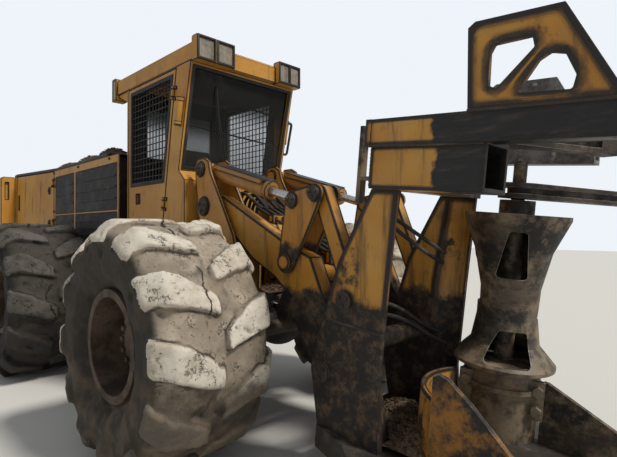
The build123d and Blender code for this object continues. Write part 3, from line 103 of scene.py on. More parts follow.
class Finish:
    """A material in the making: its shader, and short ways to add the nodes that feed it."""

    def __init__(self, name, roughness=0.6, metallic=0.0, rounding=0.0):
        self.material = bpy.data.materials.new(name)
        self.material.use_nodes = True
        self.tree = self.material.node_tree
        self.shader = self.tree.nodes["Principled BSDF"]
        self.shader.inputs["Roughness"].default_value = roughness
        self.shader.inputs["Metallic"].default_value = metallic
        self.place = self.add("TexCoord").outputs["Object"]
        self.rounding = rounding

    def add(self, kind):
        return self.tree.nodes.new("ShaderNode" + kind)

    def feed(self, socket, value):
        if isinstance(value, bpy.types.NodeSocket):
            self.tree.links.new(value, socket)
        elif isinstance(value, tuple) and len(value) == 3 and socket.type == "RGBA":
            socket.default_value = (*value, 1)
        else:
            socket.default_value = value

    def noise(self, scale, detail=5.0, roughness=0.6, stretch=(1, 1, 1)):
        mapping = self.add("Mapping")
        mapping.inputs["Scale"].default_value = stretch
        self.feed(mapping.inputs["Vector"], self.place)
        node = self.add("TexNoise")
        for socket, number in (("Scale", scale), ("Detail", detail), ("Roughness", roughness)):
            node.inputs[socket].default_value = number
        self.feed(node.inputs["Vector"], mapping.outputs["Vector"])
        return node.outputs["Fac"]

    def step(self, value, low, high, out_low=0.0, out_high=1.0):
        """A smooth step from out_low below low to out_high above high."""
        node = self.add("MapRange")
        node.interpolation_type = "SMOOTHSTEP"
        self.feed(node.inputs["Value"], value)
        for socket, number in (("From Min", low), ("From Max", high), ("To Min", out_low), ("To Max", out_high)):
            node.inputs[socket].default_value = number
        return node.outputs["Result"]

    def patches(self, scale, low, high, most=1.0, **grain):
        """A noise cut to patches, from none below low to most above high."""
        return self.step(self.noise(scale, **grain), low, high, 0.0, most)

    def maths(self, operation, first, second=0.0):
        node = self.add("Math")
        node.operation = operation
        self.feed(node.inputs[0], first)
        self.feed(node.inputs[1], second)
        return node.outputs["Value"]

    def times(self, first, second):
        return self.maths("MULTIPLY", first, second)

    def minus(self, first, second):
        return self.maths("SUBTRACT", first, second)

    def most(self, first, second):
        return self.maths("MAXIMUM", first, second)

    def coat(self, share, under, over):
        """One colour over another, where share is 1."""
        node = self.add("Mix")
        node.data_type = "RGBA"
        self.feed(node.inputs["Factor"], share)
        self.feed(node.inputs["A"], under)
        self.feed(node.inputs["B"], over)
        return node.outputs["Result"]

    def along(self, axis):
        """The place along one axis, in metres."""
        node = self.add("SeparateXYZ")
        self.feed(node.inputs["Vector"], self.place)
        return node.outputs[axis]

    def carried(self, name):
        """A number that the mesh carries on its points."""
        node = self.add("Attribute")
        node.attribute_name = name
        return node.outputs["Fac"]

    def rounded(self, width, samples):
        """The normal as it would be with the edges rounded over this width."""
        bevel = self.add("Bevel")
        bevel.samples = samples
        bevel.inputs["Radius"].default_value = width
        return bevel.outputs["Normal"]

    def edges(self, width, full=0.55, none=0.98):
        """1 on a sharp edge and 0 on a flat face, from how a rounded normal leaves the true one."""
        soft = self.rounded(width, EDGE_SAMPLES)
        true = self.add("NewGeometry").outputs["Normal"]
        dot = self.add("VectorMath")
        dot.operation = "DOT_PRODUCT"
        self.feed(dot.inputs[0], soft)
        self.feed(dot.inputs[1], true)
        return self.step(dot.outputs["Value"], full, none, 1.0, 0.0)

    def colour(self, value):
        self.feed(self.shader.inputs["Base Color"], value)

    def gloss(self, value):
        self.feed(self.shader.inputs["Roughness"], value)

    def metal(self, value):
        self.feed(self.shader.inputs["Metallic"], value)

    def relief(self, height, depth):
        """Bumps of this depth in metres."""
        bump = self.add("Bump")
        bump.inputs["Distance"].default_value = depth
        self.feed(bump.inputs["Height"], height)
        if self.rounding:
            self.feed(bump.inputs["Normal"], self.rounded(self.rounding, ROUNDING_SAMPLES))
        self.feed(self.shader.inputs["Normal"], bump.outputs["Normal"])


YELLOW = (0.43, 0.182, 0.014)
YELLOW_FADED = (0.53, 0.27, 0.045)
GREASE = (0.014, 0.011, 0.009)
DUST = (0.27, 0.205, 0.145)
RUST = (0.13, 0.052, 0.022)
SCUFFED = (0.16, 0.075, 0.018)
OILY = (0.06, 0.038, 0.020)
EDGE_BLACK = (0.018, 0.014, 0.012)
LINING = (0.012, 0.012, 0.013)
print("colours are linear, for example paint", YELLOW)

# %% [markdown]
# Worn paint covers most of the machine. The yellow has faded in the sun, grease has run down the plates,
# dust sits on it, and every plate is black along its edges where logs and hands have rubbed. The
# arguments say how much grime and how many runs there are, how wide the black edge is, and from which
# height down the part turns black. The edge is found where a rounded normal leaves the flat face's own.

# %% Worn paint
# How soft the border of the cab's lining is.
ROOM_EDGE = 0.004


def ragged(finish, share, low, high, scale=9.0):
    """A soft mask with its border broken up by noise."""
    grain = finish.noise(scale, detail=9, roughness=0.7)
    return finish.step(finish.maths("ADD", share, finish.minus(grain, 0.5)), low, high)


def paint_coats(finish, grime, streaks, edge_width, edge_share, paint=YELLOW, faded=YELLOW_FADED):
    """Faded paint with haze, runs, blotches and black edges: its colour and how dirty it is."""
    colour = finish.coat(finish.patches(1.3, 0.35, 0.65, detail=3), paint, faded)
    haze = finish.patches(7.0, 0.42, 0.85, 0.40, detail=8, roughness=0.7)
    colour = finish.coat(haze, colour, DUST)
    scuffs = finish.patches(11.0, 0.54, 0.68, 0.6, detail=10, roughness=0.8, stretch=(1.0, 1.0, 0.5))
    colour = finish.coat(scuffs, colour, SCUFFED)
    runs = finish.patches(
        2.2, 0.66 - streaks * 0.24, 0.80 - streaks * 0.12, 0.8, detail=7, roughness=0.65, stretch=(5.0, 5.0, 0.55),
    )
    colour = finish.coat(runs, colour, OILY)
    blotches = finish.patches(3.4, 0.72 - grime * 0.26, 0.80 - grime * 0.22, detail=10, roughness=0.68)
    colour = finish.coat(blotches, colour, GREASE)
    specks = finish.patches(38.0, 0.66, 0.74, 0.85, detail=6, roughness=0.75)
    colour = finish.coat(specks, colour, RUST)
    edge = finish.times(finish.edges(edge_width, full=0.965, none=0.9996), edge_share)
    edge_black = ragged(finish, edge, 0.38, 0.56, scale=13.0)
    colour = finish.coat(edge_black, colour, EDGE_BLACK)
    return colour, finish.most(blotches, finish.most(runs, edge_black))


def within(finish, axis, low, high):
    """1 between two places along an axis, 0 outside them."""
    along = finish.along(axis)
    above = finish.step(along, low - ROOM_EDGE, low)
    return finish.times(above, finish.step(along, high, high + ROOM_EDGE, 1.0, 0.0))


def worn_paint(name, grime, streaks, edge_width, edge_share, black_below=None, clean_from=None, room=None):
    finish = Finish(name, rounding=0.006)
    colour, dirt = paint_coats(finish, grime, streaks, edge_width, edge_share)
    if room is not None:
        inside = finish.times(within(finish, "X", *room["X"]), within(finish, "Y", *room["Y"]))
        colour = finish.coat(finish.times(inside, within(finish, "Z", *room["Z"])), colour, LINING)
    if black_below is not None:
        low = finish.step(finish.along("Z"), black_below, clean_from, 1.0, 0.0)
        low_black = ragged(finish, low, 0.40, 0.60, scale=4.0)
        dark = finish.coat(finish.patches(12.0, 0.45, 0.66, detail=9, roughness=0.7), GREASE, (0.105, 0.066, 0.036))
        colour = finish.coat(low_black, colour, dark)
        dirt = finish.most(dirt, low_black)
    finish.colour(colour)
    finish.gloss(finish.step(dirt, 0.0, 1.0, 0.42, 0.66))
    finish.relief(finish.noise(55.0, detail=6), 0.0018)
    return finish.material


# The cab's inner faces are lined in black.
CAB_ROOM = {"X": (-0.362, 0.600), "Y": (-0.572, 0.572), "Z": (1.330, 3.060)}
cab_paint = worn_paint("cab_paint", grime=0.22, streaks=0.45, edge_width=0.018, edge_share=0.75, room=CAB_ROOM)
hood_paint = worn_paint("hood_paint", grime=0.3, streaks=0.55, edge_width=0.022, edge_share=0.8)
tower_paint = worn_paint("tower_paint", grime=0.3, streaks=0.45, edge_width=0.030, edge_share=0.8)
boom_paint = worn_paint("boom_paint", 0.42, 0.6, 0.035, 0.85, black_below=0.90, clean_from=1.45)
lever_paint = worn_paint("lever_paint", 0.60, 0.7, 0.035, 0.9, black_below=1.30, clean_from=1.70)
post_paint = worn_paint("post_paint", 0.62, 0.9, 0.070, 1.25, black_below=0.85, clean_from=1.50)
collar_paint = worn_paint("collar_paint", grime=0.85, streaks=0.8, edge_width=0.05, edge_share=1.0)
print("paints made, from", cab_paint.name, "to", collar_paint.name)

# %% [markdown]
# The head's top frame and horns wear differently along their length: the right band is yellow near the
# post and black where logs slide, and the left side is rubbed to grey steel. So their finishes also read
# the place along X and Y.

# %% Paint of the head's top
BAND_BLACK_FROM = 3.10


def bare_grey(finish):
    patch = finish.patches(6.0, 0.38, 0.62, detail=10, roughness=0.7)
    colour = finish.coat(patch, (0.17, 0.165, 0.16), (0.045, 0.040, 0.037))
    return finish.coat(finish.patches(14.0, 0.56, 0.68, detail=8), colour, (0.30, 0.29, 0.28))


def top_frame_paint(name, black_from, edge_width):
    finish = Finish(name, rounding=0.006)
    colour, dirt = paint_coats(finish, 0.50, 0.6, edge_width, 1.3)
    if black_from is not None:
        ahead = finish.step(finish.along("X"), black_from - 0.10, black_from + 0.16)
        rubbed = ragged(finish, ahead, 0.40, 0.56, scale=6.0)
        worn = finish.patches(8.0, 0.5, 0.75, detail=10, roughness=0.75, stretch=(0.5, 1.0, 3.0))
        black = finish.coat(worn, (0.007, 0.006, 0.006), (0.050, 0.036, 0.027))
        colour = finish.coat(rubbed, colour, black)
    left = ragged(finish, finish.step(finish.along("Y"), 0.25, 0.45), 0.4, 0.6)
    colour = finish.coat(left, colour, bare_grey(finish))
    finish.colour(colour)
    finish.gloss(finish.step(dirt, 0.0, 1.0, 0.40, 0.62))
    finish.relief(finish.noise(50.0, detail=6), 0.0018)
    return finish.material


band_paint = top_frame_paint("band_paint", BAND_BLACK_FROM, 0.055)
horn_paint = top_frame_paint("horn_paint", None, 0.085)
print("head top paints", band_paint.name, horn_paint.name)

# %% [markdown]
# Each tilt ram is a yellow-brown tube with a flat black guard plate on top. They are one solid, so the
# finish tells them apart by how far a point stands above the ram's own line in the side view.

# %% Paint of the tilt rams
RAM_BASE = (0.883, 2.128)
RAM_SLOPE = -0.2857
GUARD_HEIGHT = 0.070


def ram_paint(name):
    finish = Finish(name, rounding=0.005)
    colour, dirt = paint_coats(finish, 0.35, 0.6, 0.02, 0.6, paint=(0.33, 0.145, 0.025), faded=(0.45, 0.22, 0.05))
    fall = finish.times(finish.minus(finish.along("X"), RAM_BASE[0]), -RAM_SLOPE)
    above = finish.maths("ADD", finish.minus(finish.along("Z"), RAM_BASE[1]), fall)
    guard = finish.step(above, GUARD_HEIGHT, GUARD_HEIGHT + 0.004)
    scratches = finish.patches(9.0, 0.55, 0.75, detail=9)
    scratched = finish.coat(scratches, (0.020, 0.021, 0.025), (0.12, 0.11, 0.10))
    finish.colour(finish.coat(guard, colour, scratched))
    finish.gloss(finish.step(dirt, 0.0, 1.0, 0.40, 0.65))
    finish.relief(finish.noise(55.0, detail=6), 0.0015)
    return finish.material


tilt_ram_paint = ram_paint("tilt_ram_paint")
print("guard plate is black from", GUARD_HEIGHT, "m above the ram's line")

# %% [markdown]
# Other steel: dusty black enamel, greasy dark castings, plates that logs have rubbed to dull brown steel,
# and chromed rods. Bare metal is only metallic where it is clean, so one mask drives metal and gloss.

# %% Steel finishes


def dusty_black(name, base, dust_share, rust_share):
    finish = Finish(name, rounding=0.004)
    haze = finish.noise(5.0, detail=9, roughness=0.7)
    colour = finish.coat(finish.step(haze, 0.62 - dust_share * 0.3, 0.86, 0.0, 0.7), base, DUST)
    spots = finish.patches(21.0, 0.66 - rust_share * 0.2, 0.74, detail=8, roughness=0.7)
    colour = finish.coat(spots, colour, RUST)
    worn = finish.times(finish.edges(0.010), finish.patches(30.0, 0.45, 0.6))
    colour = finish.coat(worn, colour, (0.16, 0.125, 0.095))
    finish.colour(colour)
    finish.gloss(finish.step(haze, 0.3, 0.7, 0.48, 0.8))
    finish.relief(finish.noise(70.0, detail=5), 0.0012)
    return finish.material


def rubbed_steel(name, black_share, tan_share, rust_share, paint_right_of=None):
    """Brown-grey plate with black grease patches, tan dust and a little rust, bright on its edges.
    Right of a given Y some of its old paint is left."""
    finish = Finish(name, rounding=0.005)
    grain = finish.patches(6.0, 0.3, 0.7, detail=8, roughness=0.7, stretch=(1.0, 1.0, 4.0))
    steel = finish.coat(grain, (0.036, 0.027, 0.019), (0.110, 0.086, 0.061))
    tan = finish.patches(4.6, 0.66 - tan_share * 0.3, 0.74 - tan_share * 0.14, detail=10, roughness=0.75)
    colour = finish.coat(tan, steel, (0.215, 0.162, 0.102))
    if paint_right_of is not None:
        right = finish.step(finish.along("Y"), paint_right_of - 0.1, paint_right_of, 1.0, 0.0)
        colour = finish.coat(ragged(finish, right, 0.58, 0.76, scale=5.0), colour, (0.27, 0.115, 0.014))
    rust = finish.patches(9.0, 0.68 - rust_share * 0.22, 0.76 - rust_share * 0.14, detail=9, roughness=0.72)
    colour = finish.coat(rust, colour, RUST)
    black = finish.patches(2.9, 0.66 - black_share * 0.26, 0.70 - black_share * 0.14, detail=11, roughness=0.75)
    colour = finish.coat(black, colour, GREASE)
    bright = finish.times(finish.edges(0.012), finish.patches(12.0, 0.42, 0.55))
    colour = finish.coat(bright, colour, (0.42, 0.39, 0.36))
    finish.colour(colour)
    dull = finish.most(finish.most(tan, rust), black)
    finish.metal(finish.step(dull, 0.0, 0.8, 0.35, 0.0))
    finish.gloss(finish.step(dull, 0.0, 1.0, 0.45, 0.72))
    finish.relief(finish.noise(34.0, detail=9, roughness=0.7), 0.003)
    return finish.material


def chromed_rod(name):
    finish = Finish(name, metallic=1.0)
    film = finish.noise(9.0, detail=7, roughness=0.7)
    finish.colour(finish.coat(finish.step(film, 0.5, 0.72, 0.0, 0.6), (0.62, 0.62, 0.63), (0.20, 0.17, 0.14)))
    finish.gloss(finish.step(film, 0.3, 0.75, 0.12, 0.5))
    return finish.material


black_enamel = dusty_black("black_enamel", (0.022, 0.021, 0.021), 0.25, 0.1)
hose_rubber = dusty_black("hose_rubber", (0.018, 0.018, 0.018), 0.45, 0.0)
dark_casting = dusty_black("dark_casting", (0.030, 0.024, 0.020), 0.5, 0.4)
frame_steel = dusty_black("frame_steel", (0.045, 0.032, 0.022), 0.6, 0.4)
mesh_black = dusty_black("mesh_black", (0.014, 0.015, 0.017), 0.1, 0.05)
roof_black = dusty_black("roof_black", (0.020, 0.018, 0.017), 0.55, 0.6)
panel_black = dusty_black("panel_black", (0.016, 0.017, 0.020), 0.3, 0.1)
gasket_rubber = dusty_black("gasket_rubber", (0.012, 0.012, 0.012), 0.2, 0.0)
column_steel = rubbed_steel("column_steel", 0.80, 0.85, 0.45)
drum_steel = rubbed_steel("drum_steel", 0.45, 1.0, 0.5)
wing_steel = rubbed_steel("wing_steel", 0.85, 0.85, 0.75, paint_right_of=-0.10)
saw_steel = rubbed_steel("saw_steel", 0.5, 0.4, 0.5)
arm_black = rubbed_steel("arm_black", 0.95, 0.3, 0.25)
rod_chrome = chromed_rod("rod_chrome")
print("steel finishes made")

# %% [markdown]
# Tyres go pale on their lugs, where they scrape, and stay brown in the grooves and on the sidewall, with
# painted shade in the creases at the lugs' feet, pits, cracks, and low down mud with painted shade where
# the tyre shades its own lower half. Each point of the worn tyre further down carries how far it stands out
# of the casing, and the finish reads that number. The sidewall is told from the tread by its distance from
# the axle, so each wheel has its own material. The rear ones are darker, with painted shade.

# %% Tyres and rims
WHEELS = ("front_right", "front_left", "rear_right", "rear_left")


def wheel_centre(wheel):
    low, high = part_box(f"tyre_{wheel}")
    return (Vector(low) + Vector(high)) / 2


def axle_distance(finish, centre):
    """How far a point lies from the wheel's axle."""
    across = finish.minus(finish.along("X"), centre.x)
    up = finish.minus(finish.along("Z"), centre.z)
    squares = finish.maths("ADD", finish.times(across, across), finish.times(up, up))
    return finish.maths("SQRT", squares)


def tyre_rubber(name, centre, painted_shade):
    finish = Finish(name)
    split_at = 0.08 if centre.y > 0 else -0.08

    # Every colour is scaled by the painted shade, which darkens the rear tyres as if they stood in shadow.
    def tone(*colour):
        return tuple(channel * painted_shade for channel in colour)

    far = axle_distance(finish, centre)
    rough = finish.noise(6.0, detail=9)
    wall = finish.coat(finish.step(rough, 0.35, 0.7), tone(0.022, 0.017, 0.012), tone(0.055, 0.041, 0.028))
    scrape = finish.noise(3.0, detail=9, roughness=0.7)
    groove = finish.coat(finish.step(scrape, 0.35, 0.7), tone(0.235, 0.188, 0.138), tone(0.43, 0.37, 0.29))
    colour = finish.coat(finish.step(far, 0.69, 0.76), wall, groove)
    lug = finish.carried("lug")
    top = finish.coat(finish.step(scrape, 0.4, 0.65), tone(0.62, 0.565, 0.48), tone(0.40, 0.345, 0.27))
    top_share = ragged(finish, finish.step(lug, 0.35, 0.95), 0.30, 0.80, scale=14.0)
    # Painted shade in the crease at each lug's foot, where a point stands just out of the casing.
    foot_shade = finish.times(finish.step(lug, 0.02, 0.16), finish.step(lug, 0.22, 0.5, 1.0, 0.0))
    foot_shade = finish.times(foot_shade, finish.step(rough, 0.35, 0.6))
    colour = finish.coat(foot_shade, colour, tone(0.045, 0.035, 0.028))
    colour = finish.coat(top_share, colour, top)
    pits = finish.patches(27.0, 0.575, 0.625, 0.9, detail=8, roughness=0.8)
    colour = finish.coat(pits, colour, tone(0.030, 0.024, 0.019))
    crack = finish.maths("ABSOLUTE", finish.minus(finish.noise(3.6, detail=11, roughness=0.7), 0.5))
    crack_share = finish.times(finish.step(crack, 0.004, 0.014, 1.0, 0.0), finish.step(rough, 0.48, 0.56))
    colour = finish.coat(crack_share, colour, tone(0.028, 0.022, 0.017))
    wander = finish.times(finish.minus(finish.noise(2.4, detail=6), 0.5), 0.34)
    from_split = finish.maths("ADD", finish.minus(finish.along("Y"), centre.y + split_at), wander)
    split = finish.step(finish.maths("ABSOLUTE", from_split), 0.005, 0.011, 1.0, 0.0)
    split = finish.times(split, finish.patches(3.1, 0.50, 0.54, detail=2))
    colour = finish.coat(split, colour, tone(0.026, 0.020, 0.016))
    # Darker towards the bottom: mud, and painted shade where the tyre shades its own lower half.
    below = finish.step(finish.along("Z"), centre.z - 0.42, centre.z + 0.10, 1.0, 0.0)
    mud_and_low_shade = ragged(finish, below, 0.30, 0.80, scale=5.0)
    mud_and_shade_colour = finish.coat(finish.step(rough, 0.40, 0.62), tone(0.034, 0.025, 0.017), tone(0.105, 0.076, 0.051))
    colour = finish.coat(finish.times(mud_and_low_shade, 0.88), colour, mud_and_shade_colour)
    finish.colour(colour)
    finish.gloss(finish.step(scrape, 0.3, 0.7, 0.80, 0.95))
    finish.relief(finish.noise(24.0, detail=10, roughness=0.78), 0.008)
    return finish.material


def rusty_rim(name):
    finish = Finish(name, rounding=0.006)
    patch = finish.noise(6.5, detail=10, roughness=0.7)
    colour = finish.coat(finish.step(patch, 0.42, 0.6), (0.045, 0.027, 0.017), (0.105, 0.068, 0.043))
    colour = finish.coat(finish.patches(2.7, 0.5, 0.7, 0.8, detail=6), colour, (0.125, 0.090, 0.062))
    colour = finish.coat(finish.patches(30.0, 0.60, 0.7, detail=6), colour, (0.035, 0.024, 0.017))
    finish.colour(colour)
    finish.gloss(0.85)
    finish.relief(patch, 0.006)
    return finish.material


# The rear tyres' colours are scaled down by this share: painted shade, as if they stood in shadow.
REAR_PAINTED_SHADE = 0.16
rim_rust = rusty_rim("rim_rust")
tyre_finish = {}
for wheel in WHEELS:
    painted_shade = 1.0 if wheel.startswith("front") else REAR_PAINTED_SHADE
    tyre_finish[wheel] = tyre_rubber(f"rubber_{wheel}", wheel_centre(wheel), painted_shade)
print("tyre materials", len(tyre_finish))

# %% [markdown]
# The cab's panes are tinted and smeared with dust, and the lamps have cream lenses with fine upright ribs.
# A smear is a rough coat over smooth glass, so one mask drives both how clear and how smooth a pane is.

# %% Glass and cab trim


def smeared_glass(name, tint, smear, alpha):
    finish = Finish(name, roughness=0.08)
    finish.shader.inputs["Specular IOR Level"].default_value = 0.18
    wipe = finish.noise(2.4, detail=8, roughness=0.7, stretch=(1.0, 1.0, 0.6))
    share = finish.step(wipe, 0.62 - smear * 0.3, 0.85 - smear * 0.2, 0.0, 0.75)
    low = finish.step(finish.along("Z"), 2.20, 2.80, 0.75, 0.0)
    share = finish.maths("MINIMUM", finish.maths("ADD", share, finish.times(low, wipe)), 0.8)
    finish.colour(finish.coat(share, tint, (0.085, 0.085, 0.080)))
    finish.gloss(finish.step(share, 0.0, 1.0, 0.05, 0.5))
    # The top of the pane is made nearly opaque, so its dark tint is painted shade under the roof's overhang.
    painted_top_shade = finish.step(finish.along("Z"), 2.60, 2.86, 0.0, 1.0)
    see_through = finish.coat(painted_top_shade, (alpha, alpha, alpha), (0.86, 0.86, 0.86))
    opaque = finish.most(see_through, finish.step(share, 0.0, 1.0, alpha, 0.72))
    finish.feed(finish.shader.inputs["Alpha"], opaque)
    return finish.material


def ribbed_lens(name):
    finish = Finish(name, roughness=0.18)
    milk = finish.noise(9.0, detail=7, roughness=0.7)
    colour = finish.coat(finish.step(milk, 0.35, 0.65), (0.31, 0.275, 0.22), (0.15, 0.133, 0.108))
    finish.colour(colour)
    wave = finish.add("TexWave")
    wave.bands_direction = "Y"
    wave.inputs["Scale"].default_value = 14.0
    finish.feed(wave.inputs["Vector"], finish.place)
    finish.relief(wave.outputs["Fac"], 0.004)
    return finish.material


def woven_cloth(name, base):
    finish = Finish(name, roughness=0.9)
    finish.colour(finish.coat(finish.noise(30.0), base, DUST))
    finish.relief(finish.noise(240.0, detail=2), 0.001)
    return finish.material


def forest_litter(name):
    """Bark crumbs, needles and dry leaves."""
    finish = Finish(name, roughness=0.95)
    patch = finish.noise(26.0, detail=8, roughness=0.75)
    colour = finish.coat(finish.step(patch, 0.40, 0.60), (0.040, 0.026, 0.017), (0.17, 0.108, 0.066))
    finish.colour(finish.coat(finish.patches(60.0, 0.56, 0.66), colour, (0.24, 0.17, 0.11)))
    finish.relief(finish.noise(90.0, detail=6), 0.006)
    return finish.material


windshield_glass = smeared_glass("windshield_glass", (0.007, 0.008, 0.008), 0.32, 0.38)
lamp_glass = ribbed_lens("lamp_glass")
seat_cloth = woven_cloth("seat_cloth", (0.02, 0.02, 0.022))
console_plastic = dusty_black("console_plastic", (0.03, 0.03, 0.03), 0.3, 0.0)
litter = forest_litter("litter")
print("cab finishes and litter made")

# %% [markdown]
# Each solid keeps its shape and only gets its finish here, from a table of finishes and their nodes.

# %% Finish of each solid
FINISHES = {}
for finish, nodes in (
    (dark_casting, "front_axle rear_axle lift_barrels steer_barrel_left steer_barrel_right engine_block "
        "exhaust saw_housing"),
    (frame_steel, "front_frame rear_frame counterweight body_sill"),
    (tower_paint, "boom_towers"),
    (boom_paint, "boom tilt_links"),
    (hose_rubber, "boom_lines"),
    (lever_paint, "tilt_levers"),
    (tilt_ram_paint, "tilt_barrels"),
    (rod_chrome, "tilt_rods lift_rods steer_rod_left steer_rod_right"),
    (roof_black, "hood_top"),
    (hood_paint, "corner_posts engine_door_left engine_door_right bay_frames rear_grille"),
    (panel_black, "bay_screens"),
    (cab_paint, "cab_body cab_door_left cab_door_right cab_roof"),
    (windshield_glass, "cab_glass"),
    (mesh_black, "door_screen_left door_screen_right"),
    (lamp_glass, "roof_lamps"),
    (seat_cloth, "seat"),
    (console_plastic, "consoles"),
    (black_enamel, "steps_and_grab"),
    (post_paint, "head_posts"),
    (band_paint, "head_top_frame"),
    (horn_paint, "horns"),
    (column_steel, "arm_column hose_guide"),
    (drum_steel, "arm_motor_drum"),
    (saw_steel, "saw_disc"),
    (collar_paint, "pocket_collar"),
    (wing_steel, "head_wings"),
    (arm_black, "collecting_arm clamp_arm"),
):
    for node in nodes.split():
        FINISHES[node] = finish
for wheel in WHEELS:
    FINISHES[f"tyre_{wheel}"] = tyre_finish[wheel]
    FINISHES[f"rim_{wheel}"] = rim_rust
for node, finish in FINISHES.items():
    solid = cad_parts[node]
    solid.data.materials.clear()
    solid.data.materials.append(finish)
unfinished = sorted(set(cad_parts) - set(FINISHES))
print("nodes without a finish:", unfinished)

# %% [markdown]
# Small pieces are each a bmesh, made by operators. One helper turns it into an object: it closes doubled
# points, turns the faces outwards, shades smooth except over hard edges, and names the body it rides on.

# %% Helper that ends a piece


def end_piece(name, form, body, finish, hard_angle=38):
    bmesh.ops.remove_doubles(form, verts=form.verts, dist=0.0001)
    bmesh.ops.recalc_face_normals(form, faces=form.faces)
    mesh = bpy.data.meshes.new(name)
    form.to_mesh(mesh)
    form.free()
    mesh.materials.append(finish)
    mesh.shade_smooth()
    mesh.set_sharp_from_angle(angle=math.radians(hard_angle))
    piece = bpy.data.objects.new(name, mesh)
    bpy.context.collection.objects.link(piece)
    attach(piece, body)
    return piece


def outer_face(node, x, z, side):
    """Y where a line from far out on one side first meets this solid."""
    tree = BVHTree.FromObject(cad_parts[node], bpy.context.evaluated_depsgraph_get())
    hit = tree.ray_cast(Vector((x, side * 3.0, z)), Vector((0, -side, 0)))[0]
    return None if hit is None else hit.y


print("boom tower's outer face at its top pin:", outer_face("boom_towers", 0.883, 2.128, -1))

# %% [markdown]
# The tyres are old: their lugs are rounded like river stones and the rubber is chunked. The solid has flat
# facets, so a round casing is spun over it, both are made one skin with a voxel remesh, and smoothing
# wears the corners down. Then noise moves the points: waves for uneven wear, and deeper bites where a
# second noise is high. Last, each point keeps how far it stands out of the casing, for the finish.

# %% Worn tyres
VOXEL = 0.0145
WEAR_PASSES = 5
# From these radii on: rubber that wears, the tread, and the lugs' tops.
WEARS_FROM = 0.40
TREAD_FROM = 0.68
TOPS_FROM = 0.835
LUG_STANDS = 0.05
# Half section of the round casing: distance from the tyre's middle, and radius.
CASING = (
    (0.309, 0.342), (0.309, 0.372), (0.340, 0.402), (0.392, 0.470), (0.412, 0.560), (0.408, 0.645),
    (0.382, 0.720), (0.315, 0.766), (0.210, 0.789), (0.0, 0.795),
)


def casing_radius(across):
    """Radius of the casing's tread at this distance from the tyre's middle."""
    rows = sorted(row for row in CASING if row[1] > 0.64)
    for (near, near_radius), (far, far_radius) in zip(rows, rows[1:]):
        if across <= far:
            return near_radius + (far_radius - near_radius) * (across - near) / (far - near)
    return rows[-1][1]


def spin_casing(form, centre):
    outline = [(y, r) for y, r in CASING] + [(-y, r) for y, r in reversed(CASING[:-1])]
    points = [form.verts.new(centre + Vector((0, y, r))) for y, r in outline]
    loop = [form.edges.new((a, b)) for a, b in zip(points, points[1:] + points[:1])]
    bmesh.ops.spin(form, geom=points + loop, cent=centre, axis=(0, 1, 0), angle=math.tau, steps=96, use_merge=True)


def worn_tyre(wheel):
    centre = wheel_centre(wheel)
    form = bmesh.new()
    form.from_mesh(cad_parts[f"tyre_{wheel}"].data)
    bmesh.ops.remove_doubles(form, verts=form.verts, dist=0.0005)
    spin_casing(form, centre)
    tyre = end_piece(f"worn_tyre_{wheel}", form, f"wheel_{wheel}", tyre_finish[wheel])
    remesh = tyre.modifiers.new("one_skin", "REMESH")
    remesh.mode = "VOXEL"
    remesh.voxel_size = VOXEL
    skin = bpy.data.meshes.new_from_object(tyre.evaluated_get(bpy.context.evaluated_depsgraph_get()))
    tyre.modifiers.clear()

    form = bmesh.new()
    form.from_mesh(skin)
    for _ in range(WEAR_PASSES):
        bmesh.ops.smooth_vert(form, verts=form.verts, factor=0.5, use_axis_x=True, use_axis_y=True, use_axis_z=True)
    form.normal_update()
    height = form.verts.layers.float.new("lug")
    seed = Vector((WHEELS.index(wheel) * 17.0, 0, 0))
    for vert in form.verts:
        place = vert.co - centre
        radius = math.hypot(place.x, place.z)
        across = abs(place.y)
        if radius > WEARS_FROM:
            wave = noise.noise(place * 5.0 + seed) * 0.014 + noise.noise(place * 17.0 + seed) * 0.005
            bite = max(0.0, noise.noise(place * 11.0 - seed) - 0.38) * 0.06
            outwards = 1.0 if radius < TOPS_FROM else 0.4
            vert.co += vert.normal * (min(wave, 0.008) * outwards - bite)
        vert.co.z = max(vert.co.z, 0.001)
        stands = math.hypot(vert.co.x - centre.x, vert.co.z - centre.z) - casing_radius(across)
        vert[height] = min(max(stands / LUG_STANDS, 0.0), 1.0) if radius > TREAD_FROM else 0.0
    form.to_mesh(skin)
    form.free()
    skin.materials.clear()
    skin.materials.append(tyre_finish[wheel])
    skin.shade_smooth()
    tyre.data = skin
    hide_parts(f"tyre_{wheel}")
    return tyre


tyres = [worn_tyre(wheel) for wheel in WHEELS]
print("triangles in a worn tyre:", sum(len(face.vertices) - 2 for face in tyres[0].data.polygons))

# %% [markdown]
# Bolts and nuts are six-sided heads on a washer. One function sets such a head on a face, turned to stand
# out of it, and the rings below repeat it round a centre.

# %% Bolts


def facing(place, direction):
    """The matrix that takes up, +Z, to this direction, at this place."""
    turn = Vector((0, 0, 1)).rotation_difference(Vector(direction)).to_matrix().to_4x4()
    return Matrix.Translation(place) @ turn


def add_disc(form, seat, radius, thick, segments=24, soft=0.003, lift=0.0):
    """A flat round with its rim broken, standing on its seat."""
    made = bmesh.ops.create_cone(
        form, cap_ends=True, segments=segments, radius1=radius, radius2=radius, depth=thick,
        matrix=seat @ Matrix.Translation((0, 0, lift + thick / 2)),
    )
    rim = {edge for vert in made["verts"] for edge in vert.link_edges}
    sides = {edge: [len(face.verts) for face in edge.link_faces] for edge in rim}
    caps = [edge for edge in rim if len(sides[edge]) == 2 and max(sides[edge]) > 4]
    bmesh.ops.bevel(form, geom=caps, offset=soft, segments=2, profile=0.5, affect="EDGES", material=-1)


